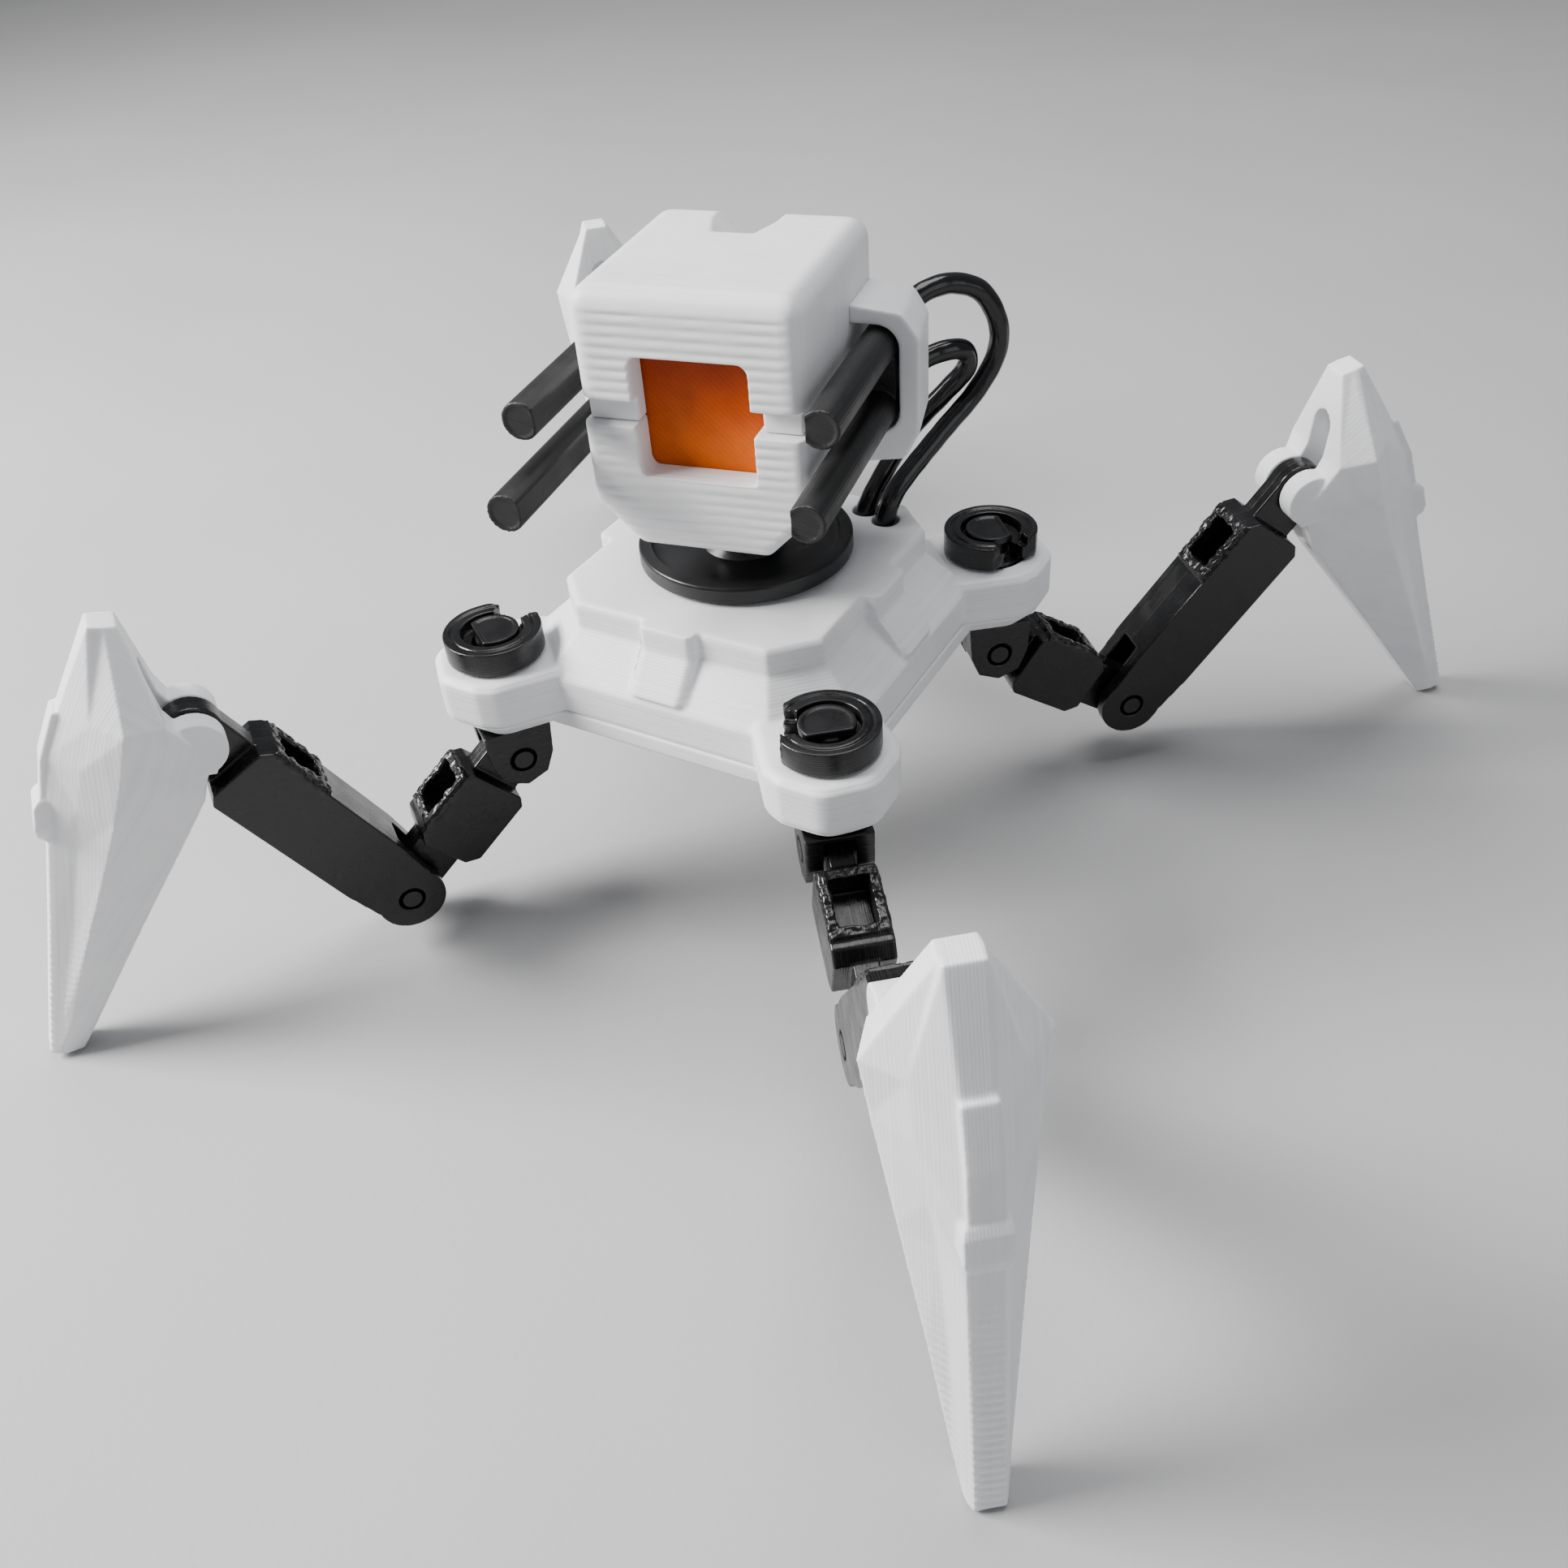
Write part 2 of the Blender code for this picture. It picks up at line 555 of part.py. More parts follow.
def make_bracket(side):
    """Gun carrier on one side of the head: a C open toward the head."""
    x0 = HEAD_HALF + GAP
    pts = [(x0, 38.5), (13.4, 39.2), (14.6, 41.6), (14.6, 49.3), (13.2, 51.2), (x0, 51.7)]
    y0, y1 = BRACKET_Y
    frame = loft([[(x, y0, z) for x, z in pts],
                  [(x0 + (x - x0) * 0.86, y1, z) for x, z in pts]])
    lo, hi = GUN_Z
    r = GUN_ROOM
    slot = [box(x0 - 1, GUN_X, y0 - 1, y1 + 1, lo - r, hi + r),
            box(x0 - 1, GUN_X + r, y0 - 1, y1 + 1, lo, hi)] + [
        cyl(r, y0 - 1, y1 + 1, 20, axis="Y", at=(GUN_X, 0, z)) for z in GUN_Z]
    me = combine(frame, *sub(*slot))
    return me if side > 0 else moved(me, Matrix.Diagonal((-1, 1, 1, 1)))


def make_gun(side):
    """Twin barrels, the lower one longer, joined by a web inside the bracket."""
    r = GUN_R
    a, b = [cyl(r, -front, GUN_BACK, 20, axis="Y", at=(GUN_X, 0, z))
            for front, z in zip(GUN_FRONT[side], GUN_Z)]
    web = box(GUN_X - 1.0, GUN_X + r - 0.1, BRACKET_Y[0] + 0.6, GUN_BACK, *GUN_Z)
    flat = box(GUN_X - 4, GUN_X - 1.15, -24, 12, 38, 54)
    me = combine(a, *add(b, web), *sub(flat))
    return me if side > 0 else moved(me, Matrix.Diagonal((-1, 1, 1, 1)))


# ---- hoses ------------------------------------------------------------
HOSE_OUT_HOLE = (8.6, 9.6)
HOSE_IN_HOLE = (6.2, 10.6)


def head_point(x, y, z):
    """Head coordinates to body coordinates at the resting yaw."""
    a = math.radians(HEAD_YAW)
    return Vector((x * math.cos(a) - y * math.sin(a),
                   x * math.sin(a) + y * math.cos(a), z))


def smooth_path(pts, count):
    """Points evenly spaced on a Catmull-Rom curve through pts."""
    p = [2 * pts[0] - pts[1]] + list(pts) + [2 * pts[-1] - pts[-2]]
    fine = []
    for i in range(1, len(p) - 2):
        p0, p1, p2, p3 = p[i - 1:i + 3]
        for k in range(24):
            t = k / 24
            fine.append(0.5 * ((2 * p1) + (p2 - p0) * t
                               + (2 * p0 - 5 * p1 + 4 * p2 - p3) * t * t
                               + (3 * p1 - p0 - 3 * p2 + p3) * t ** 3))
    fine.append(p[-2])
    dist = [0.0]
    for a, b in zip(fine, fine[1:]):
        dist.append(dist[-1] + (b - a).length)
    out, j = [], 0
    for k in range(count):
        s = dist[-1] * k / (count - 1)
        while j < len(dist) - 2 and dist[j + 1] < s:
            j += 1
        t = (s - dist[j]) / (dist[j + 1] - dist[j])
        out.append(fine[j].lerp(fine[j + 1], min(1.0, t)))
    return out, dist[-1]


def hose(pts, count):
    path, length = smooth_path(pts, count)
    cu = bpy.data.curves.new("hose", "CURVE")
    cu.dimensions = "3D"
    cu.bevel_depth = HOSE_R * MM
    cu.bevel_resolution = 2
    cu.use_fill_caps = True
    sp = cu.splines.new("POLY")
    sp.points.add(len(path) - 1)
    for q, v in zip(sp.points, path):
        q.co = (*(v * MM), 1.0)
    o = bpy.data.objects.new("hose", cu)
    CUTTERS.objects.link(o)
    bpy.context.view_layer.update()
    me = bpy.data.meshes.new_from_object(
        o.evaluated_get(bpy.context.evaluated_depsgraph_get()))
    bpy.data.objects.remove(o, do_unlink=True)
    bm = bmesh.new()
    bm.from_mesh(me)
    bmesh.ops.remove_doubles(bm, verts=bm.verts, dist=1e-6)
    return from_bm(bm), length


def hose_route(which):
    back = GUN_BACK + 2 * GAP
    if which == "outer":
        start = [head_point(GUN_X, back, GUN_Z[1]), head_point(GUN_X, back + 0.4, GUN_Z[1]),
                 head_point(11.6, back + 1.1, 48.8)]
        arc = [head_point(12.8, 12.6, 49.5), head_point(14.6, 14.4, 49.5),
               head_point(16.6, 16.0, 48.3), head_point(17.9, 16.9, 45.4),
               head_point(17.8, 16.8, 42.6), head_point(16.3, 15.6, 39.6),
               head_point(13.9, 12.9, 36.8)]
        hole = HOSE_OUT_HOLE
        lean = (0.8, 1.1)
    else:
        start = [head_point(GUN_X, back, GUN_Z[0]), head_point(GUN_X, back + 0.4, GUN_Z[0]),
                 head_point(11.7, back + 1.0, 43.5)]
        arc = [head_point(13.2, 12.6, 44.0), head_point(14.7, 13.6, 44.2),
               head_point(15.6, 14.7, 43.6), head_point(15.6, 15.0, 42.0),
               head_point(13.7, 14.9, 39.6), head_point(10.9, 13.7, 36.4)]
        hole = HOSE_IN_HOLE
        lean = (1.0, 1.4)
    end = [Vector((hole[0] + lean[0], hole[1] + lean[1], Z_DECK + 2.8)),
           Vector((hole[0], hole[1], Z_DECK + 0.1)),
           Vector((hole[0] - 0.2, hole[1] - 0.2, Z_DECK - 1.4))]
    return start + arc + end


# ---- assembly ---------------------------------------------------------
def settle(a2, t):
    """Lower link angle that puts the lowest foot corner on the floor."""
    t = math.radians(t)
    foot = min(SHIN_Z[-1] * math.cos(t) + u * math.sin(t) for u in FOOT_U)
    return math.degrees(math.asin(
        -(Z_HIP + L_UPPER * math.sin(math.radians(a2)) + foot) / L_LOWER))


def rot_y(deg):
    """Turn so that +X rises by deg toward +Z."""
    return Matrix.Rotation(-math.radians(deg), 4, "Y")


def build():
    root = empty("spider_robot_root", None, at())
    node("body_upper_shell", make_upper_shell(), "white", root)
    node("belly_plate", make_belly_plate(), "white", root)

    yoke, clip = make_hip_yoke(), make_clip()
    lower, upper, shin = make_lower_link(), make_upper_link(), make_shin()
    pin_hip, pin_knee, pin_ankle = make_pin(2.8), make_pin(2.8), make_pin(EAR_W - 0.8)
    clip_turn = {"front_left": 95, "front_right": 205, "rear_right": 330, "rear_left": 150}
    for name, sx, sy, heading, a2, tilt in LEGS:
        a1 = settle(a2, tilt)
        yaw = empty(name + "_hip_yaw", root,
                    at(sx * LOBE, sy * LOBE, 0) @ Matrix.Rotation(math.radians(heading), 4, "Z"))
        node(name + "_hip_yoke", yoke.copy(), "black", yaw)
        c = empty(name + "_clip_seat", yaw, at(0, 0, Z_LOBE + GAP) @ Matrix.Rotation(
            math.radians(clip_turn[name] - heading), 4, "Z"))
        node(name + "_hip_clip", clip.copy(), "black", c)
        node(name + "_hip_pin", shift(pin_hip, HIP_OUT, 0, Z_HIP), "black", yaw)
        pitch = empty(name + "_hip_pitch", yaw, at(HIP_OUT, 0, Z_HIP) @ rot_y(a1))
        node(name + "_lower_link", lower.copy(), "black", pitch)
        knee = empty(name + "_knee", pitch, at(L_LOWER, 0, 0) @ rot_y(a2 - a1))
        node(name + "_knee_pin", pin_knee.copy(), "black", knee)
        node(name + "_upper_link", upper.copy(), "black", knee)
        ankle = empty(name + "_ankle", knee, at(L_UPPER, 0, 0) @ rot_y(-a2 + tilt))
        node(name + "_ankle_pin", pin_ankle.copy(), "black", ankle)
        node(name + "_shin", shin.copy(), "white", ankle)

    node("turret_clip", make_turret_clip(), "black", root)
    head = empty("turret_yaw", root, Matrix.Rotation(math.radians(HEAD_YAW), 4, "Z"))
    node("turret_disc", make_turret_disc(), "black", head)
    node("head_upper_shell", make_head_upper(), "white", head)
    node("head_lower_shell", make_head_lower(), "white", head)
    node("window_pane", make_window_pane(), "orange", head)
    for side, nm in ((1, "right"), (-1, "left")):
        node("gun_bracket_" + nm, make_bracket(side), "white", head)
        node("gun_barrels_" + nm, make_gun(side), "black", head)
    lengths = {}
    for which, n in (("outer", 34), ("inner", 30)):
        me, lengths[which] = hose(hose_route(which), n)
        node("hose_" + which, me, "hose", root)
    bpy.context.view_layer.update()
    centre_on_footprint(root)
    return lengths


def centre_on_footprint(root):
    """Slide the whole robot so the middle of its footprint is the origin."""
    pts = [o.matrix_world @ v.co for o in ROBOT.objects if o.type == "MESH"
           for v in o.data.vertices]
    mid = [(min(p[i] for p in pts) + max(p[i] for p in pts)) / 2 for i in (0, 1)]
    root.location = (-mid[0], -mid[1], -min(p.z for p in pts))
    bpy.context.view_layer.update()


HOSE_LENGTHS = build()
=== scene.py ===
"""Looks for the posable four-legged spider robot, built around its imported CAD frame.

Printed pieces are modelled in millimetres in their own local frames, then
scaled to metres and placed with the same matrices as the CAD solids.
"""
import math

import bmesh
import bpy
import numpy as np
from mathutils import Matrix, Vector, noise


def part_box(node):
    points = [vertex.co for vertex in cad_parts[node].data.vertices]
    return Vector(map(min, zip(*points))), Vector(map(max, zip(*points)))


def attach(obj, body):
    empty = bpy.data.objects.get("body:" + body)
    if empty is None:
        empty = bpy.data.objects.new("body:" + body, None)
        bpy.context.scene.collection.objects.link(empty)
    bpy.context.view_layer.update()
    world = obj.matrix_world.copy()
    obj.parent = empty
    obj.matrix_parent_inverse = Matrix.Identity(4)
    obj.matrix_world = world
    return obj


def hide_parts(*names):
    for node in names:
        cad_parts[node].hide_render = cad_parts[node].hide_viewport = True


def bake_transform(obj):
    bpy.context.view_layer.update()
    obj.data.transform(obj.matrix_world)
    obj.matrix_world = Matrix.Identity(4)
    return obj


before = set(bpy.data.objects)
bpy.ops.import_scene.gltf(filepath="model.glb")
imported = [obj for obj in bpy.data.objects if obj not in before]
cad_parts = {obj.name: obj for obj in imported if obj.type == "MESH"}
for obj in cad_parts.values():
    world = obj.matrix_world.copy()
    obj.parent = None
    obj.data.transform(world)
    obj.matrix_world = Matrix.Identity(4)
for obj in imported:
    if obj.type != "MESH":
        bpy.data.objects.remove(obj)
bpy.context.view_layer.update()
SCENE = bpy.context.scene

# ---- the robot's own dimensions, in millimetres -------------------------
GAP = 0.3
BODY_HALF, BODY_CORNER = 16.3, 5.5
DECK_X, DECK_Y, DECK_CORNER = 12.5, 12.9, 3.4
Z_BELLY, Z_SPLIT, Z_SHOULDER, Z_STEP, Z_DECK = 19.6, 22.0, 24.9, 28.3, 30.7
WALL, LOBE, Z_LOBE = 1.9, 16.0, 25.8
SHAFT_R, BORE_R, CLIP_R, CLIP_H, NECK_R, HEAD_R = 2.9, 3.25, 4.2, 2.1, 1.6, 2.25
Z_HIP, HIP_OUT = 16.0, 0.3
L_LOWER, L_UPPER, LINK_W, LINK_T = 16.8, 25.4, 5.0, 6.6
TONGUE_W, TONGUE_R, CHEEK_R = 2.1, 2.5, 3.1
SLOT_W = TONGUE_W + 2 * GAP
PIN_R, PIN_HOLE_R = 0.875, 1.2
DISC_R, DISC_T, HUB_R = 9.2, 1.5, 3.0
HEAD_HALF, HEAD_FRONT, HEAD_BACK = 9.0, 9.1, 10.0
HEAD_Z0, HEAD_ZS, HEAD_Z1, HEAD_YAW = 35.7, 46.0, 56.4, 10.5
BAND_Z = 47.9
GUN_X, GUN_Z, GUN_R, GUN_BACK = 11.1, (43.2, 48.4), 1.5, 10.2
GUN_FRONT = {1: (16.0, 11.8), -1: (19.0, 14.6)}
BRACKET_Y = (2.9, 9.0)
EAR_W = 3.4
HOSE_R = 0.875
HOSE_OUT_HOLE, HOSE_IN_HOLE = (8.6, 9.6), (6.2, 10.6)
LEGS = (
    ("front_left", -1, -1, 235.0, 61.3, 15.3),
    ("front_right", 1, -1, 308.8, 52.0, 4.0),
    ("rear_right", 1, 1, 41.8, 52.2, 16.2),
    ("rear_left", -1, 1, 136.0, 39.0, 9.0),
)
SHIN_FOOT_Z = -31.0
FOOT_U = (10.0, 12.7)
CLIP_TURN = {"front_left": 95, "front_right": 205, "rear_right": 330, "rear_left": 150}

WORK = bpy.data.collections.new("work")
SCENE.collection.children.link(WORK)


# ---- mesh tools ----------------------------------------------------------
def obj_from(me, name="tmp"):
    o = bpy.data.objects.new(name, me)
    WORK.objects.link(o)
    return o


def evaluated(o):
    """The object's mesh with its modifiers applied; the object is removed."""
    bpy.context.view_layer.update()
    me = bpy.data.meshes.new_from_object(
        o.evaluated_get(bpy.context.evaluated_depsgraph_get()))
    bpy.data.objects.remove(o, do_unlink=True)
    return me


def from_bm(bm):
    bmesh.ops.recalc_face_normals(bm, faces=bm.faces)
    me = bpy.data.meshes.new("m")
    bm.to_mesh(me)
    bm.free()
    return me


def box(x0, x1, y0, y1, z0, z1):
    bm = bmesh.new()
    bmesh.ops.create_cube(bm, size=1.0)
    for v in bm.verts:
        v.co = Vector((x0 if v.co.x < 0 else x1, y0 if v.co.y < 0 else y1,
                       z0 if v.co.z < 0 else z1))
    return from_bm(bm)


def cyl(r, a, b, n=48, r2=None, axis="Z", at=(0.0, 0.0, 0.0)):
    bm = bmesh.new()
    bmesh.ops.create_cone(bm, cap_ends=True, segments=n, radius1=r,
                          radius2=(r if r2 is None else r2), depth=b - a)
    rot = {"Z": Matrix.Identity(4),
           "X": Matrix.Rotation(math.pi / 2, 4, "Y"),
           "Y": Matrix.Rotation(-math.pi / 2, 4, "X")}[axis]
    mid = Matrix.Translation((0, 0, (a + b) / 2))
    bm.transform(Matrix.Translation(at) @ rot @ mid)
    return from_bm(bm)


def loft(rings):
    bm = bmesh.new()
    rows = [[bm.verts.new(Vector(p)) for p in r] for r in rings]
    n = len(rows[0])
    for a, b in zip(rows, rows[1:]):
        for i in range(n):
            j = (i + 1) % n
            bm.faces.new((a[i], a[j], b[j], b[i]))
    bm.faces.new(list(reversed(rows[0])))
    bm.faces.new(rows[-1])
    bmesh.ops.triangulate(bm, faces=[f for f in bm.faces if len(f.verts) > 4])
    return from_bm(bm)


def slab(pts, a, b, plane="XY"):
    """Flat closed outline given thickness: XY between z, XZ between y."""
    if plane == "XY":
        return loft([[(x, y, h) for x, y in pts] for h in (a, b)])
    return loft([[(x, h, z) for x, z in pts] for h in (a, b)])


def moved(me, m):
    c = me.copy()
    c.transform(m)
    if m.determinant() < 0:
        c.flip_normals()
    return c


def turn(me, deg, axis="Z"):
    return moved(me, Matrix.Rotation(math.radians(deg), 4, axis))


def combine(base, *ops):
    o = obj_from(base.copy(), "base")
    cut = []
    for kind, me in ops:
        c = obj_from(me, "cutter")
        m = o.modifiers.new(kind, "BOOLEAN")
        m.operation = kind
        m.solver = "EXACT"
        m.object = c
        cut.append(c)
    me = evaluated(o)
    for c in cut:
        bpy.data.objects.remove(c, do_unlink=True)
    return me


def add(*meshes):
    return [("UNION", m) for m in meshes]


def sub(*meshes):
    return [("DIFFERENCE", m) for m in meshes]


def soften(me, voxel, smooth=4, factor=0.5):
    """Even skin of small faces with every edge rounded, as a print has."""
    o = obj_from(me)
    m = o.modifiers.new("skin", "REMESH")
    m.mode = "VOXEL"
    m.voxel_size = voxel
    s = o.modifiers.new("soft", "SMOOTH")
    s.factor = factor
    s.iterations = smooth
    return evaluated(o)


def thin(me, ratio):
    """Fewer faces where the surface is plain."""
    o = obj_from(me)
    d = o.modifiers.new("thin", "DECIMATE")
    d.ratio = ratio
    return evaluated(o)


def arrays(me):
    n = len(me.vertices)
    co = np.empty(n * 3, np.float32)
    me.vertices.foreach_get("co", co)
    no = np.empty(n * 3, np.float32)
    me.vertex_normals.foreach_get("vector", no)
    return co.reshape(-1, 3).astype(float), no.reshape(-1, 3).astype(float)


def write(me, co):
    me.vertices.foreach_set("co", co.astype(np.float32).ravel())
    me.update()


def step(x, a, b):
    t = np.clip((x - a) / (b - a), 0.0, 1.0)
    return t * t * (3 - 2 * t)


def grain(co, scale, seed):
    """Smooth noise value at each point, about -1 to 1."""
    return np.array([noise.noise(Vector(c) * scale + Vector((seed, -seed, seed * 2)))
                     for c in co])


def octagon(hx, hy, c, z):
    return [(hx, -hy + c, z), (hx, hy - c, z), (hx - c, hy, z),
            (-hx + c, hy, z), (-hx, hy - c, z), (-hx, -hy + c, z),
            (-hx + c, -hy, z), (hx - c, -hy, z)]


def inset(pts, d):
    out = []
    n = len(pts)
    for i in range(n):
        p0, p1, p2 = (Vector(pts[(i + k) % n]) for k in (-1, 0, 1))
        e0, e1 = (p1 - p0).normalized(), (p2 - p1).normalized()
        n0, n1 = Vector((-e0.y, e0.x)), Vector((-e1.y, e1.x))
        b = (n0 + n1).normalized()
        out.append(tuple(p1 + b * (d / max(0.3, b.dot(n0)))))
    return out


def rounded(pts, radius, n=6):
    """Outline with each corner replaced by an arc of about that radius."""
    out = []
    k = len(pts)
    for i in range(k):
        p0, p1, p2 = (Vector(pts[(i + j) % k]) for j in (-1, 0, 1))
        a, b = (p0 - p1), (p2 - p1)
        ang = a.angle(b)
        r = radius[i] if isinstance(radius, (list, tuple)) else radius
        if r <= 0.01:
            out.append(tuple(p1))
            continue
        t = min(r / math.tan(ang / 2), 0.48 * a.length, 0.48 * b.length)
        q0, q1 = p1 + a.normalized() * t, p1 + b.normalized() * t
        for j in range(n + 1):
            s = j / n
            out.append(tuple(q0 * (1 - s) ** 2 + p1 * 2 * s * (1 - s) + q1 * s * s))
    return out


def turned(profile, steps=144):
    bm = bmesh.new()
    vs = [bm.verts.new((r, 0, z)) for r, z in profile]
    for a, b in zip(vs, vs[1:]):
        bm.edges.new((a, b))
    me = bpy.data.meshes.new("profile")
    bm.to_mesh(me)
    bm.free()
    o = obj_from(me, "turned")
    m = o.modifiers.new("screw", "SCREW")
    m.steps = steps
    m.render_steps = steps
    m.use_merge_vertices = True
    m.merge_threshold = 0.001
    me = evaluated(o)
    bm = bmesh.new()
    bm.from_mesh(me)
    bmesh.ops.remove_doubles(bm, verts=bm.verts, dist=1e-4)
    return from_bm(bm)


# ---- placing -------------------------------------------------------------
MMS = Matrix.Scale(0.001, 4)
_lo, _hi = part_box("turret_disc")
SHIFT = Vector(((_lo.x + _hi.x) / 2, (_lo.y + _hi.y) / 2, 0.0)) * 1000.0
ROOT = Matrix.Translation(SHIFT)
HEAD = ROOT @ Matrix.Rotation(math.radians(HEAD_YAW), 4, "Z")


def metres(m):
    """A placement given in millimetres, for meshes already in metres."""
    out = m.copy()
    out.translation = m.translation * 0.001
    return out


def piece(name, me, body, matrix, mat, slot, *stands_for, sharp=None):
    if not me.get("metres"):
        me.transform(MMS)
        me["metres"] = 1
        me.materials.clear()
        me.materials.append(mat)
        me.shade_smooth()
        if sharp:
            me.set_sharp_from_angle(angle=math.radians(sharp))
    o = bpy.data.objects.new(name, me)
    SCENE.collection.objects.link(o)
    o.matrix_world = metres(matrix)
    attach(o, body)
    if stands_for:
        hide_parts(*stands_for)
    return o


# ---- materials -----------------------------------------------------------
class Net:
    """Short way to write a material's nodes."""

    def __init__(self, name):
        self.mat = bpy.data.materials.new(name)
        self.mat.use_nodes = True
        self.t = self.mat.node_tree
        self.bsdf = self.t.nodes["Principled BSDF"]

    def node(self, kind, **props):
        n = self.t.nodes.new(kind)
        for k, v in props.items():
            setattr(n, k, v)
        return n

    def put(self, value, socket):
        if isinstance(value, bpy.types.NodeSocket):
            self.t.links.new(value, socket)
        else:
            socket.default_value = value

    def math(self, op, a, b=0.0, c=0.0, clamp=False):
        n = self.node("ShaderNodeMath", operation=op, use_clamp=clamp)
        for s, v in zip(n.inputs, (a, b, c)):
            self.put(v, s)
        return n.outputs[0]

    def dot(self, v, axis):
        n = self.node("ShaderNodeVectorMath", operation="DOT_PRODUCT")
        self.put(v, n.inputs[0])
        n.inputs[1].default_value = axis
        return n.outputs["Value"]

    def noise(self, v, scale, detail=2.0, rough=0.5, dims="3D", w=None):
        n = self.node("ShaderNodeTexNoise", noise_dimensions=dims)
        if dims == "1D":
            self.put(w, n.inputs["W"])
        else:
            self.put(v, n.inputs["Vector"])
        n.inputs["Scale"].default_value = scale
        n.inputs["Detail"].default_value = detail
        n.inputs["Roughness"].default_value = rough
        return n.outputs["Fac"]

    def ramp(self, fac, stops):
        n = self.node("ShaderNodeValToRGB")
        self.put(fac, n.inputs[0])
        e = n.color_ramp.elements
        while len(e) < len(stops):
            e.new(0.5)
        for el, (pos, col) in zip(e, stops):
            el.position = pos
            el.color = (*col, 1.0)
        return n.outputs["Color"]

    def remap(self, fac, a, b, lo, hi):
        n = self.node("ShaderNodeMapRange")
        for s, v in zip(n.inputs, (fac, a, b, lo, hi)):
            self.put(v, s)
        return n.outputs[0]

    def bump(self, height, distance, strength=1.0, normal=None):
        n = self.node("ShaderNodeBump")
        n.inputs["Strength"].default_value = strength
        n.inputs["Distance"].default_value = distance
        self.put(height, n.inputs["Height"])
        if normal is not None:
            self.put(normal, n.inputs["Normal"])
        return n.outputs["Normal"]


def layers(net, co, axis, pitch=0.0002, wobble=0.25):
    """Height of stacked printed layers along an axis, 0 to 1."""
    w = net.math("DIVIDE", net.dot(co, axis), pitch)
    jitter = net.noise(co, 900.0, 1.0)
    w = net.math("ADD", w, net.math("MULTIPLY", jitter, wobble))
    wave = net.math("MULTIPLY_ADD", net.math("SINE", net.math("MULTIPLY", w, 2 * math.pi)), 0.5, 0.5)
    each = net.noise(None, 0.55, 2.0, 0.6, dims="1D", w=w)
    return wave, each


def white_pla(name, axis=(0, 0, 1), depth=0.000007, step_depth=0.00003):
    net = Net(name)
    co = net.node("ShaderNodeTexCoord").outputs["Object"]
    wave, each = layers(net, co, axis)
    cloud = net.noise(co, 260.0, 3.0, 0.55)
    fine = net.noise(co, 9000.0, 2.0, 0.6)
    tone = net.math("MULTIPLY_ADD", each, 0.5, net.math("MULTIPLY", cloud, 0.5))
    colour = net.ramp(tone, [(0.30, (0.735, 0.745, 0.77)), (0.52, (0.80, 0.805, 0.82)),
                             (0.75, (0.835, 0.838, 0.845))])
    net.put(colour, net.bsdf.inputs["Base Color"])
    net.put(net.remap(net.math("ADD", fine, each), 0.6, 1.4, 0.36, 0.52),
            net.bsdf.inputs["Roughness"])
    net.bsdf.inputs["IOR"].default_value = 1.46
    net.bsdf.inputs["Subsurface Weight"].default_value = 0.16
    net.bsdf.inputs["Subsurface Radius"].default_value = (1.0, 0.95, 0.9)
    net.bsdf.inputs["Subsurface Scale"].default_value = 0.0007
    n1 = net.bump(each, step_depth)
    n2 = net.bump(wave, depth, normal=n1)
    n3 = net.bump(fine, 0.000003, normal=n2)
    net.put(n3, net.bsdf.inputs["Normal"])
    net.mat.diffuse_color = (0.8, 0.8, 0.82, 1)
    return net.mat


def black_pla(name, axis=(0, 0, 1), base=(0.0045, 0.0045, 0.005), rough=(0.26, 0.44),
              depth=0.000006, step_depth=0.00002, blotch=0.00004):
    net = Net(name)
    co = net.node("ShaderNodeTexCoord").outputs["Object"]
    wave, each = layers(net, co, axis)
    cloud = net.noise(co, 420.0, 3.0, 0.6)
    fine = net.noise(co, 7000.0, 3.0, 0.6)
    tone = net.math("MULTIPLY_ADD", each, 0.6, net.math("MULTIPLY", cloud, 0.4))
    dark = tuple(c * 0.7 for c in base)
    light = tuple(c * 1.7 for c in base)
    net.put(net.ramp(tone, [(0.3, dark), (0.5, base), (0.75, light)]),
            net.bsdf.inputs["Base Color"])
    net.put(net.remap(net.math("MULTIPLY_ADD", cloud, 0.6, net.math("MULTIPLY", each, 0.4)),
                      0.35, 0.65, rough[0], rough[1]), net.bsdf.inputs["Roughness"])
    net.bsdf.inputs["IOR"].default_value = 1.47
    n1 = net.bump(each, step_depth)
    n2 = net.bump(wave, depth, normal=n1)
    n3 = net.bump(cloud, blotch, normal=n2)
    n4 = net.bump(fine, 0.000003, normal=n3)
    net.put(n4, net.bsdf.inputs["Normal"])
    net.mat.diffuse_color = (0.02, 0.02, 0.02, 1)
    return net.mat


def hose_black(name):
    net = Net(name)
    co = net.node("ShaderNodeTexCoord").outputs["Object"]
    cloud = net.noise(co, 300.0, 3.0, 0.6)
    fine = net.noise(co, 2600.0, 2.0, 0.5)
    net.put(net.ramp(cloud, [(0.3, (0.006, 0.006, 0.007)), (0.7, (0.012, 0.012, 0.013))]),
            net.bsdf.inputs["Base Color"])
    net.put(net.remap(fine, 0.3, 0.7, 0.10, 0.20), net.bsdf.inputs["Roughness"])
    net.bsdf.inputs["IOR"].default_value = 1.48
    n1 = net.bump(cloud, 0.00005)
    net.put(net.bump(fine, 0.000004, normal=n1), net.bsdf.inputs["Normal"])
    net.mat.diffuse_color = (0.01, 0.01, 0.01, 1)
    return net.mat


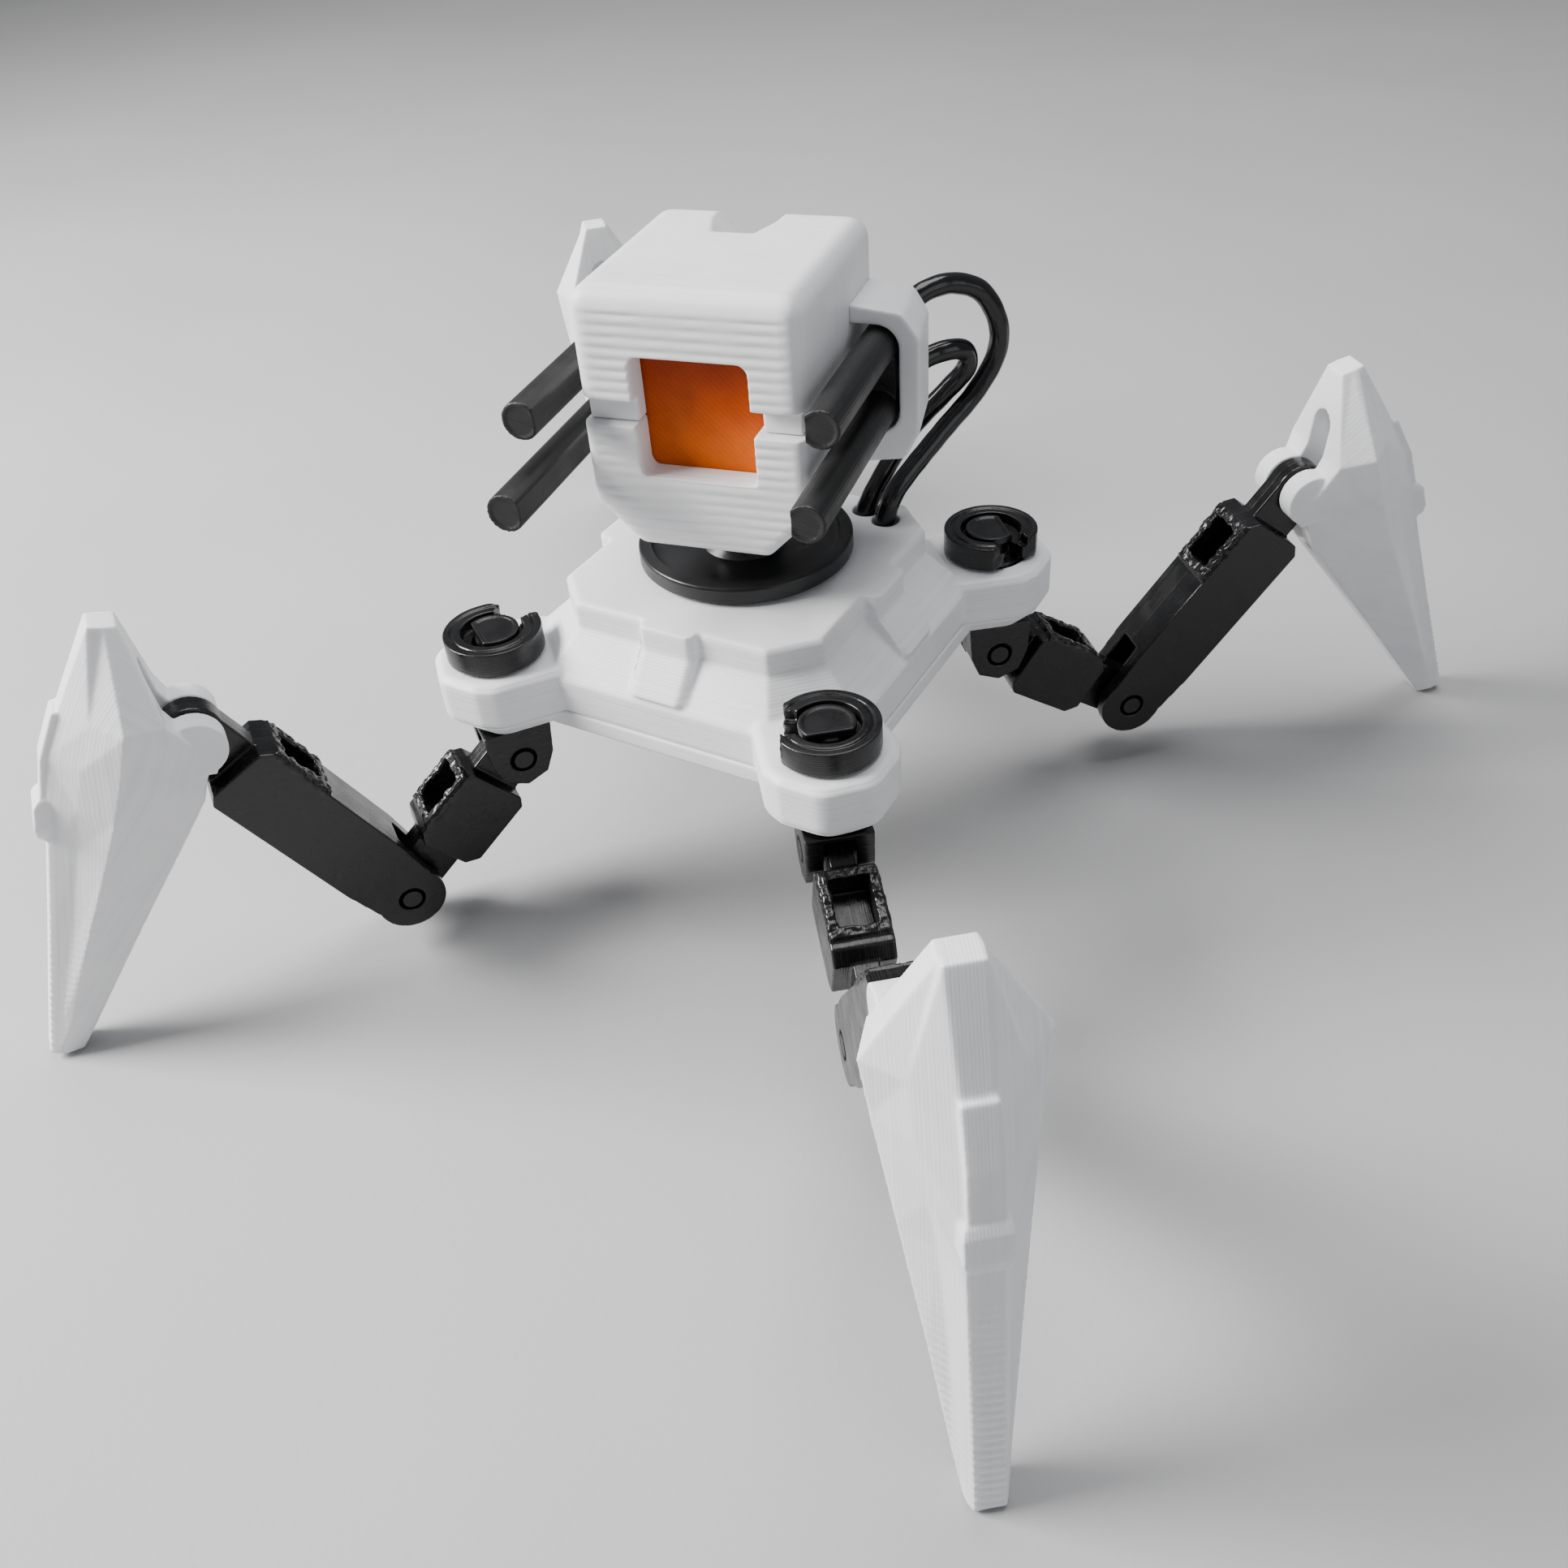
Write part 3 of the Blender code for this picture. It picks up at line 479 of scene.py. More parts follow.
def orange_pla(name):
    """First-layer face of an orange print: diagonal bead lines, uneven tone, and painted shade that darkens
    it toward the top of the window opening, under the head's upper edge.
    """
    net = Net(name)
    co = net.node("ShaderNodeTexCoord").outputs["Object"]
    bead = net.math("DIVIDE", net.dot(co, (0.7071, 0.0, 0.7071)), 0.0004)
    bead = net.math("ADD", bead, net.math("MULTIPLY", net.noise(co, 500.0, 1.0), 0.5))
    wave = net.math("MULTIPLY_ADD", net.math("SINE", net.math("MULTIPLY", bead, 2 * math.pi)), 0.5, 0.5)
    cloud = net.noise(co, 330.0, 3.0, 0.6)
    speck = net.noise(co, 3500.0, 2.0, 0.7)
    # painted shade: brightest at the bottom of the window opening and darker toward its top, where the
    # head's upper edge overhangs the pane
    painted_shade_ramp = net.remap(net.dot(co, (0.0, 0.0, 1.0)), 0.0422, 0.0515, 1.0, 0.0)
    tone = net.math("MULTIPLY_ADD", painted_shade_ramp, 0.75, net.math("MULTIPLY_ADD", cloud, 0.35,
                    net.math("MULTIPLY_ADD", wave, 0.05, net.math("MULTIPLY", speck, 0.12))))
    colour = net.ramp(tone, [(0.22, (0.26, 0.022, 0.0005)), (0.62, (0.44, 0.056, 0.0008)),
                             (1.0, (0.68, 0.120, 0.002))])
    net.put(colour, net.bsdf.inputs["Base Color"])
    net.put(net.remap(speck, 0.3, 0.7, 0.38, 0.55), net.bsdf.inputs["Roughness"])
    net.bsdf.inputs["IOR"].default_value = 1.46
    net.bsdf.inputs["Specular IOR Level"].default_value = 0.2
    net.put(net.bump(wave, 0.000008, normal=net.bump(cloud, 0.00003)), net.bsdf.inputs["Normal"])
    net.mat.diffuse_color = (0.8, 0.16, 0.01, 1)
    return net.mat


WHITE = white_pla("white_print")
WHITE_HEAD = white_pla("white_print_head", (0, 1, 0), depth=0.000003, step_depth=0.000008)
WHITE_SHIN = white_pla("white_print_shin", (0.10, 0.99, 0.0), depth=0.000005, step_depth=0.000016)
WHITE_BRACKET = white_pla("white_print_bracket", (0, 1, 0), depth=0.000005, step_depth=0.000012)
BLACK = black_pla("black_print")
BLACK_LINK = black_pla("black_print_link", (0, 1, 0), rough=(0.16, 0.34), blotch=0.00007)
BLACK_GUN = black_pla("black_print_gun", (0.25, 0, 0.97), base=(0.009, 0.009, 0.0095),
                      rough=(0.38, 0.55), depth=0.000009, step_depth=0.00003, blotch=0.00002)
BLACK_CLIP = black_pla("black_print_clip", (0, 0, 1), rough=(0.2, 0.4), depth=0.00001)
HOSE = hose_black("hose_black")
ORANGE = orange_pla("orange_print")


# ---- body ----------------------------------------------------------------
LOBE_PTS = [(9.4, 9.4), (16.0, 9.15), (20.6, 12.7), (21.3, 14.4),
            (21.3, 18.2), (18.2, 21.3), (14.4, 21.3), (12.7, 20.6), (9.15, 16.0)]
LOBE_ROUND = [0, 1.0, 2.0, 1.6, 2.2, 2.2, 1.6, 2.0, 1.0]


def lobe_loft(rings):
    out = []
    for z, d in rings:
        out.append([(x, y, z) for x, y in rounded(inset(LOBE_PTS, d), LOBE_ROUND, 4)])
    return loft(out)


def four(me):
    return [moved(me, Matrix.Diagonal((sx, sy, 1, 1))) for _, sx, sy, *_ in LEGS]


def side_badge(o, width=5.2):
    prof = [(-DECK_Y + 2.0, Z_STEP - 2.6), (-DECK_Y + 2.0, Z_DECK),
            (-DECK_Y - o, Z_DECK), (-DECK_Y - o, Z_STEP + 0.35),
            (-BODY_HALF + 0.55 - o * 0.71, Z_SHOULDER + 0.35 + o * 0.3),
            (-BODY_HALF + 1.2, Z_SHOULDER + 0.1)]
    ch = 0.5
    rings = []
    for x, d in ((-width / 2, ch), (-width / 2 + ch, 0.0),
                 (width / 2 - ch, 0.0), (width / 2, ch)):
        rings.append([(x + 0.2, y + (d if i in (2, 3, 4) else 0.0), z)
                      for i, (y, z) in enumerate(prof)])
    return loft(rings)


def make_upper_shell():
    z0 = Z_SPLIT - GAP + 0.03
    shell = loft([
        octagon(BODY_HALF, BODY_HALF, BODY_CORNER, z0),
        octagon(BODY_HALF, BODY_HALF, BODY_CORNER, Z_SHOULDER),
        octagon(DECK_X, DECK_Y, DECK_CORNER, Z_STEP),
        octagon(DECK_X, DECK_Y, DECK_CORNER, Z_DECK - 0.35),
        octagon(DECK_X - 0.35, DECK_Y - 0.35, DECK_CORNER - 0.15, Z_DECK)])
    lobe = lobe_loft([(z0, 0.0), (Z_LOBE - 0.5, 0.0), (Z_LOBE, 0.5)])
    badge = side_badge(0.95)
    badges = [badge, turn(badge, 180), turn(badge, 90), turn(badge, -90)]
    room = loft([
        octagon(BODY_HALF - WALL, BODY_HALF - WALL, 6.6, z0 - 1.0),
        octagon(BODY_HALF - WALL, BODY_HALF - WALL, 6.6, Z_SHOULDER - 0.9),
        octagon(DECK_X - WALL, DECK_Y - WALL, 3.4, Z_STEP - 0.4),
        octagon(DECK_X - WALL, DECK_Y - WALL, 3.4, Z_DECK - 2.0)])
    bores = [cyl(BORE_R, z0 - 1, Z_LOBE + 1, 64, at=(sx * LOBE, sy * LOBE, 0))
             for _, sx, sy, *_ in LEGS]
    hub = cyl(HUB_R + GAP + 0.05, Z_DECK - 4, Z_DECK + 1, 64)
    holes = [cyl(HOSE_R + GAP + 0.05, Z_DECK - 4, Z_DECK + 1, 32, at=(x, y, 0))
             for x, y in (HOSE_OUT_HOLE, HOSE_IN_HOLE)]
    me = combine(shell, *add(*four(lobe), *badges), *sub(room, *bores, hub, *holes))
    me = soften(me, 0.17, 5)
    return thin(me, 0.30)


def make_belly_plate():
    top = Z_SPLIT - GAP
    plate = loft([
        octagon(BODY_HALF - 0.6, BODY_HALF - 0.6, BODY_CORNER, Z_BELLY),
        octagon(BODY_HALF + 0.1, BODY_HALF + 0.1, BODY_CORNER, Z_BELLY + 0.6),
        octagon(BODY_HALF + 0.1, BODY_HALF + 0.1, BODY_CORNER, top)])
    lobe = lobe_loft([(Z_BELLY, 2.0), (top - 0.2, 0.1), (top, 0.1)])
    lip = loft([octagon(13.9, 13.9, 6.6, top - 0.5), octagon(13.9, 13.9, 6.6, top + 1.5)])
    well = loft([octagon(12.4, 12.4, 6.0, Z_BELLY + 1.2), octagon(12.4, 12.4, 6.0, top + 3.0)])
    bores = [cyl(BORE_R, Z_BELLY - 1, top + 2, 64, at=(sx * LOBE, sy * LOBE, 0))
             for _, sx, sy, *_ in LEGS]
    me = combine(plate, *add(*four(lobe), lip), *sub(well, *bores))
    me = soften(me, 0.18, 3)
    return thin(me, 0.25)


# ---- hip -----------------------------------------------------------------
def make_hip_yoke():
    top = Z_LOBE
    zc = Z_BELLY - GAP
    shaft = cyl(SHAFT_R, zc - 0.6, top, 64)
    neck = cyl(NECK_R, top - 0.5, top + GAP + 1.5, 40)
    head = cyl(HEAD_R, top + GAP + 1.4, top + GAP + CLIP_H, 64)
    dish = cyl(HEAD_R - 0.35, top + GAP + CLIP_H - 0.12, top + 9, 48)
    block = slab([(HIP_OUT - 3.0, zc), (HIP_OUT - 2.75, Z_HIP),
                  (HIP_OUT - 1.95, Z_HIP - 1.95), (HIP_OUT, Z_HIP - 2.75),
                  (HIP_OUT + 1.95, Z_HIP - 1.95), (HIP_OUT + 2.75, Z_HIP),
                  (HIP_OUT + 3.0, zc)], -LINK_W / 2 - 0.3, LINK_W / 2 + 0.3, "XZ")
    slot = box(HIP_OUT - 5, HIP_OUT + 5, -SLOT_W / 2, SLOT_W / 2,
               Z_HIP - 5, Z_HIP + TONGUE_R + GAP)
    flat = box(1.35, 4, -4, 4, top + GAP + 1.4, top + 6)
    pin = cyl(PIN_HOLE_R, -5, 5, 32, axis="Y", at=(HIP_OUT, 0, Z_HIP))
    inner = combine(dish, *sub(box(1.0, 6, -6, 6, top, top + 12)))
    me = combine(shaft, *add(neck, head, block), *sub(slot, flat, pin, inner))
    me = soften(me, 0.11, 2)
    return thin(me, 0.30)


def make_clip():
    ring = cyl(CLIP_R, 0.0, CLIP_H, 96)
    bore = cyl(NECK_R + GAP, -1.0, CLIP_H + 1, 48)
    bowl = cyl(HEAD_R + 0.45, 1.05, CLIP_H + 1, 64)
    groove = combine(cyl(CLIP_R - 0.55, CLIP_H - 0.14, CLIP_H + 1, 96),
                     *sub(cyl(CLIP_R - 0.85, -1, CLIP_H + 2, 96)))
    mouth = box(0, 6, -0.95, 0.95, -1, CLIP_H + 1)
    flat = box(3.45, 6, -6, 6, -1, CLIP_H + 1)
    notch = box(2.4, 6, -1.5, 1.5, 1.2, CLIP_H + 1)
    me = combine(ring, *sub(bore, bowl, groove, mouth, flat, notch))
    me = soften(me, 0.085, 3)
    co, no = arrays(me)
    # a little sag and stringing on the cut ends of the ring
    w = step(co[:, 0], 2.2, 3.6) * step(np.abs(co[:, 1]), 3.4, 1.2)
    co += no * (grain(co, 1.5, 3.0) * 0.22 * w)[:, None]
    write(me, co)
    return thin(me, 0.35)


# ---- links ---------------------------------------------------------------
def rough_rim(me, x0, x1, z0, amount):
    """Blobs of over-extruded plastic round a window's raised rim."""
    co, no = arrays(me)
    w = step(co[:, 2], z0 - 0.5, z0 + 0.1) * step(co[:, 0], x0 - 0.2, x0 + 0.4) \
        * step(co[:, 0], x1 + 0.2, x1 - 0.4)
    g = grain(co, 1.35, 1.0) + 0.6 * grain(co, 3.1, 5.0)
    co += no * (g * amount * w)[:, None]
    write(me, co)
    return me


def make_lower_link():
    x0, x1 = 3.5, L_LOWER - 5.2
    h = LINK_T / 2
    body = slab([(x0, -h + 0.7), (x0 + 0.7, -h), (x1 - 1.0, -h), (x1, -h + 1.0),
                 (x1, h - 1.0), (x1 - 1.0, h), (x0 + 0.7, h), (x0, h - 0.7)],
                -LINK_W / 2, LINK_W / 2, "XZ")
    spine = box(0, L_LOWER, -TONGUE_W / 2, TONGUE_W / 2, -TONGUE_R + 0.1, TONGUE_R - 0.1)
    ends = [cyl(TONGUE_R, -TONGUE_W / 2, TONGUE_W / 2, 64, axis="Y", at=(x, 0, 0))
            for x in (0.0, L_LOWER)]
    rim = box(x0 + 0.5, x0 + 6.3, -LINK_W / 2 + 0.15, LINK_W / 2 - 0.15, h - 1, h + 0.3)
    window = box(x0 + 1.3, x0 + 5.4, -1.6, 1.6, h - 2.4, h + 2)
    holes = [cyl(PIN_HOLE_R, -4, 4, 32, axis="Y", at=(x, 0, 0)) for x in (0.0, L_LOWER)]
    me = combine(body, *add(spine, *ends, rim), *sub(window, *holes))
    me = soften(me, 0.12, 2)
    rough_rim(me, x0 + 0.5, x0 + 6.3, h, 0.16)
    return thin(me, 0.45)


def make_upper_link():
    h = LINK_T / 2
    w = LINK_W / 2 + 0.3
    xs, x1 = 5.0, L_UPPER - 4.2
    body = slab([(0.5, -CHEEK_R + 0.15), (xs, -h), (x1 - 0.8, -h), (x1, -h + 0.8),
                 (x1, h - 0.8), (x1 - 0.8, h), (xs, h), (0.5, CHEEK_R - 0.15)], -w, w, "XZ")
    hub = cyl(CHEEK_R, -w, w, 64, axis="Y")
    tongue = box(x1 - 1, L_UPPER, -TONGUE_W / 2, TONGUE_W / 2, -TONGUE_R + 0.1, TONGUE_R - 0.1)
    tip = cyl(TONGUE_R, -TONGUE_W / 2, TONGUE_W / 2, 64, axis="Y", at=(L_UPPER, 0, 0))
    rim = box(x1 - 7.2, x1 - 1.0, -LINK_W / 2 - 0.1, LINK_W / 2 + 0.1, h - 1, h + 0.35)
    window = box(x1 - 6.2, x1 - 2.0, -1.7, 1.7, h - 3.0, h + 2)
    slot = box(-5, xs, -SLOT_W / 2, SLOT_W / 2, -6, 6)
    holes = [cyl(PIN_HOLE_R, -4, 4, 32, axis="Y", at=(x, 0, 0)) for x in (0.0, L_UPPER)]
    me = combine(body, *add(hub, tongue, tip, rim), *sub(slot, window, *holes))
    me = soften(me, 0.12, 2)
    rough_rim(me, x1 - 7.2, x1 - 1.0, h, 0.18)
    return thin(me, 0.45)


# ---- shin ----------------------------------------------------------------
def shin_ring(z, uf, wf, um, wm, ul, wl, ub, wb):
    return [(uf, -wf, z), (uf, wf, z), (um, wm, z), (ul, wl, z), (ub, wb, z),
            (ub, -wb, z), (ul, -wl, z), (um, -wm, z)]


def make_shin():
    shell = loft([
        shin_ring(-31.0, 12.7, 1.05, 12.1, 1.35, 11.4, 1.45, 10.0, 1.1),
        shin_ring(-27.0, 12.4, 1.05, 11.4, 1.55, 10.7, 1.95, 8.4, 1.4),
        shin_ring(-18.0, 11.7, 1.1, 10.0, 1.85, 9.0, 2.95, 4.8, 2.0),
        shin_ring(-9.0, 11.05, 1.15, 9.0, 2.2, 7.0, 4.05, 1.1, 2.7),
        shin_ring(-5.0, 10.9, 1.15, 8.7, 2.7, 6.2, 4.55, -0.5, 3.0),
        shin_ring(-1.0, 10.6, 0.95, 8.3, 3.1, 5.6, 5.05, -1.0, 3.2),
        shin_ring(3.0, 9.4, 0.95, 7.4, 3.3, 5.2, 5.5, 2.2, 4.3),
        shin_ring(10.2, 6.9, 1.2, 6.4, 1.25, 5.8, 1.3, 4.8, 1.2)])
    strip = loft([[(x, -w, z), (x, w, z), (b, w, z), (b, -w, z)] for x, w, z, b in (
        (11.25, 1.15, -5.0, 8.0), (10.95, 1.15, -1.0, 8.0), (9.8, 1.15, 3.1, 6.0))])
    cap = loft([[(x, -w, z), (x, w, z), (8.0, w, z), (8.0, -w, z)] for x, w, z in (
        (11.3, 0.8, -8.7), (11.75, 1.3, -8.0), (11.85, 1.5, -7.2), (11.75, 1.5, -5.2),
        (11.4, 1.35, -4.6))])
    ears = [cyl(2.4, 1.35 if s > 0 else -EAR_W, EAR_W if s > 0 else -1.35, 64,
                axis="Y") for s in (1, -1)]
    fill = [box(-1.5, 5.0, 1.35 if s > 0 else -EAR_W, EAR_W if s > 0 else -1.35, -2.3, 1.2)
            for s in (1, -1)]
    slot = box(-6.0, 4.6, -SLOT_W / 2, SLOT_W / 2, -7.0, 5.2)
    arch = cyl(SLOT_W / 2, -6.0, 4.6, 40, axis="X", at=(0, 0, 5.2))
    pin = cyl(PIN_HOLE_R, -EAR_W + 0.5, EAR_W - 0.5, 32, axis="Y")
    me = combine(shell, *add(strip, cap, *ears, *fill), *sub(slot, arch, pin))
    me = soften(me, 0.13, 5)
    co, no = arrays(me)
    # ripples across the narrow front of the blade, stronger toward the foot
    front = step(no[:, 0], 0.15, 0.75) * step(-co[:, 2], 9.2, 12.0)
    amp = 0.012 + 0.040 * step(-co[:, 2], 10.0, 28.0)
    wave = np.sin(2 * math.pi * (co[:, 2] + 0.10 * co[:, 1]) / 0.75)
    co[:, 0] += front * amp * wave
    write(me, co)
    return thin(me, 0.30)


def make_pin(half):
    return cyl(PIN_R, -half, half, 32, axis="Y")


# ---- turret and head ------------------------------------------------------
def make_turret_disc():
    z0 = Z_DECK + GAP
    z1 = z0 + DISC_T
    rim = [(DISC_R - 0.3 + 0.3 * math.sin(a), z1 - 0.3 + 0.3 * math.cos(a))
           for a in [math.radians(d) for d in range(0, 91, 15)]]
    dish = [(8.1 - 0.5 * (1 - math.cos(a)), z1 - 0.5 * math.sin(a))
            for a in [math.radians(d) for d in range(90, -1, -15)]]
    return turned([(0, HEAD_Z0 + 1.6), (2.0, HEAD_Z0 + 1.6), (2.0, HEAD_Z0 - GAP),
                   (3.4, HEAD_Z0 - GAP), (3.05, HEAD_Z0 - 1.5), (3.0, z1 + 0.4),
                   (3.15, z1 - 0.1), (3.7, z1 - 0.6), (7.2, z1 - 0.5)] + dish + rim + [
                   (DISC_R, z0 + 0.15), (DISC_R - 0.15, z0), (HUB_R, z0),
                   (HUB_R, Z_DECK - 2.0), (2.1, Z_DECK - 2.0), (2.1, Z_DECK - 3.9),
                   (HUB_R, Z_DECK - 3.9), (HUB_R, Z_DECK - 4.9), (2.4, Z_DECK - 5.4),
                   (0, Z_DECK - 5.4)])


def rect(x0, x1, y0, y1):
    return [(x0, y0), (x1, y0), (x1, y1), (x0, y1)]


def ridge_front(me, lo, hi, period, amount, phase):
    """Wide bead lines across the front plate, as real relief."""
    co, no = arrays(me)
    w = step(-no[:, 1], 0.55, 0.9) * step(-co[:, 1], HEAD_FRONT - 0.9, HEAD_FRONT - 0.15)
    w *= step(co[:, 2], lo, lo + 0.5) * step(co[:, 2], hi, hi - 0.5)
    w *= step(np.abs(co[:, 0]), HEAD_HALF - 0.5, HEAD_HALF - 1.6)
    z = co[:, 2] + 0.02 * grain(co * np.array([1, 0, 1]), 0.8, 2.0)
    t = (z - phase) / period
    bead = np.abs(np.sin(math.pi * t)) ** 0.7
    weak = np.clip(0.75 + 0.6 * grain(co * np.array([1, 0, 1]), 0.45, 7.0), 0.25, 1.2)
    co[:, 1] -= w * amount * (bead - 0.75) * weak
    write(me, co)
    return me


def window_cut(x0, x1, z0, z1, radii):
    return slab(rounded(rect(x0, x1, z0, z1), radii, 6), -HEAD_FRONT - 2, -HEAD_FRONT + 4, "XZ")


def make_head_upper():
    w, f, b = HEAD_HALF, -HEAD_FRONT, HEAD_BACK
    z0 = HEAD_ZS + 0.03
    r = 1.6
    rings = []
    plan = rect(-w, w, f, b)
    for z, d in [(z0, 0.0)] + [(HEAD_Z1 - r + r * math.sin(a), r * (1 - math.cos(a)))
                               for a in [math.radians(k) for k in range(0, 91, 15)]]:
        q = rounded(inset(plan, d), max(1.5 - d * 0.7, 0.4), 6)
        rings.append([(x, y, z) for x, y in q])
    shell = loft(rings)
    room = box(-w + 1.7, w - 1.7, f + 2.5, b - 3.4, z0 - 1, HEAD_Z1 - 2.2)
    # recess between the cheek plates and the jaw
    band = slab(rounded([(-w - 2, z0 - 1), (w + 2, z0 - 1), (w + 2, BAND_Z),
                         (-w - 2, BAND_Z)], 0.01), f - 1, f + 0.95, "XZ")
    notch = loft([
        [(-2.0, b + 0.6, HEAD_Z1 - 2.5), (1.0, b + 0.6, HEAD_Z1 - 2.5),
         (2.7, b + 0.6, HEAD_Z1 + 0.4), (-3.8, b + 0.6, HEAD_Z1 + 0.4)][::-1],
        [(-2.0, b - 3.0, HEAD_Z1 - 1.7), (1.0, b - 3.0, HEAD_Z1 - 1.7),
         (2.4, b - 3.0, HEAD_Z1 + 0.4), (-3.5, b - 3.0, HEAD_Z1 + 0.4)][::-1],
        [(-2.2, b - 6.0, HEAD_Z1 - 0.02), (1.2, b - 6.0, HEAD_Z1 - 0.02),
         (2.2, b - 6.0, HEAD_Z1 + 0.5), (-3.3, b - 6.0, HEAD_Z1 + 0.5)][::-1]])
    window = window_cut(-4.5, 4.9, z0 - 2, 51.5, [0.01, 0.01, 1.1, 0.8])
    wide = window_cut(3.0, 5.5, z0 - 2, BAND_Z - 0.02, 0.01)
    ends = [box(s * (w - 0.4) if s > 0 else -w - 2, w + 2 if s > 0 else -w + 0.4,
                f - 1, f + 2.2, z0 - 1, BAND_Z) for s in (1, -1)]
    me = combine(shell, *sub(room, window, wide, band, *ends, notch))
    me = soften(me, 0.14, 5)
    ridge_front(me, BAND_Z + 0.1, HEAD_Z1 - 1.0, 0.86, 0.20, 56.35)
    return thin(me, 0.42)


def make_head_lower():
    w, f, b = HEAD_HALF, -HEAD_FRONT, HEAD_BACK
    z1 = HEAD_ZS - 0.03
    prof = [(-w + 3.6, HEAD_Z0), (w - 3.6, HEAD_Z0), (w, HEAD_Z0 + 3.6), (w, z1 + 1),
            (-w, z1 + 1), (-w, HEAD_Z0 + 3.6)]
    rings = []
    r = 0.9
    ys = [(f + r - r * math.sin(a), r * (1 - math.cos(a))) for a in
          [math.radians(k) for k in range(90, -1, -18)]]
    ys += [(b - y + f, d) for y, d in reversed(ys)]
    for y, d in ys:
        q = rounded(inset(prof, d), 0.8, 4)
        rings.append([(x, y, z) for x, z in q])
    shell = loft(rings)
    room = box(-w + 1.7, w - 1.7, f + 2.5, b - 1.7, HEAD_Z0 + 3.2, z1 + 3)
    lid = box(-w - 2, w + 2, f - 2, b + 2, z1, z1 + 6)
    peg = cyl(2.0 + GAP, HEAD_Z0 - 1, HEAD_Z0 + 4, 40)
    me = combine(shell, *sub(lid, room, window_cut(-4.5, 5.0, 41.9, z1 + 4, [0.8, 0.5, 0.01, 0.01]), peg))
    me = soften(me, 0.14, 5)
    ridge_front(me, HEAD_Z0 + 0.4, HEAD_ZS - 0.1, 0.86, 0.20, 56.35)
    return thin(me, 0.42)


def make_window_pane():
    """Flat orange print with softened corners and a slightly uneven edge."""
    f = -HEAD_FRONT
    pts = rounded(rect(-5.5, 5.9, 41.0, 52.4), 0.8, 6)
    me = slab(pts, f + 2.55, f + 3.4, "XZ")
    return soften(me, 0.16, 2)


def make_bracket(side):
    x0 = HEAD_HALF - 0.02
    pts = [(x0, 38.5), (13.4, 39.2), (14.6, 41.6), (14.6, 49.3), (13.2, 51.2), (x0, 51.7)]
    y0, y1 = BRACKET_Y
    q = rounded(pts, [0.01, 1.0, 1.1, 1.1, 1.0, 0.01], 5)
    frame_ = loft([[(x, y0, z) for x, z in q],
                   [(x0 + (x - x0) * 0.86, y1, z) for x, z in q]])
    lo, hi = GUN_Z
    r = GUN_R + GAP
    slot = [box(x0 - 1, GUN_X, y0 - 1, y1 + 1, lo - r, hi + r),
            box(x0 - 1, GUN_X + r, y0 - 1, y1 + 1, lo, hi)] + [
        cyl(r, y0 - 1, y1 + 1, 48, axis="Y", at=(GUN_X, 0, z)) for z in GUN_Z]
    me = combine(frame_, *sub(*slot))
    me = soften(me, 0.12, 8)
    me = thin(me, 0.4)
    return me if side > 0 else moved(me, Matrix.Diagonal((-1, 1, 1, 1)))


def make_gun(side):
    r = GUN_R
    tubes = [cyl(r, -front, GUN_BACK, 64, axis="Y", at=(GUN_X, 0, z))
             for front, z in zip(GUN_FRONT[side], GUN_Z)]
    web = box(GUN_X - 1.0, GUN_X + r - 0.1, BRACKET_Y[0] + 0.6, GUN_BACK, *GUN_Z)
    flat = box(GUN_X - 4, GUN_X - 1.15, -24, 12, 38, 54)
    dents = [cyl(r - 0.28, -front - 1, -front + 0.10, 64, axis="Y", at=(GUN_X, 0, z))
             for front, z in zip(GUN_FRONT[side], GUN_Z)]
    me = combine(tubes[0], *add(tubes[1], web), *sub(flat, *dents))
    me = soften(me, 0.10, 2)
    me = thin(me, 0.25)
    return me if side > 0 else moved(me, Matrix.Diagonal((-1, 1, 1, 1)))


# ---- hoses ----------------------------------------------------------------
def head_point(x, y, z):
    a = math.radians(HEAD_YAW)
    return Vector((x * math.cos(a) - y * math.sin(a), x * math.sin(a) + y * math.cos(a), z))


def smooth_path(pts, count):
    p = [2 * pts[0] - pts[1]] + list(pts) + [2 * pts[-1] - pts[-2]]
    fine = []
    for i in range(1, len(p) - 2):
        p0, p1, p2, p3 = p[i - 1:i + 3]
        for k in range(24):
            t = k / 24
            fine.append(0.5 * ((2 * p1) + (p2 - p0) * t
                               + (2 * p0 - 5 * p1 + 4 * p2 - p3) * t * t
                               + (3 * p1 - p0 - 3 * p2 + p3) * t ** 3))
    fine.append(p[-2])
    dist = [0.0]
    for a, b in zip(fine, fine[1:]):
        dist.append(dist[-1] + (b - a).length)
    out, j = [], 0
    for k in range(count):
        s = dist[-1] * k / (count - 1)
        while j < len(dist) - 2 and dist[j + 1] < s:
            j += 1
        t = (s - dist[j]) / (dist[j + 1] - dist[j])
        out.append(fine[j].lerp(fine[j + 1], min(1.0, t)))
    return out, dist[-1]


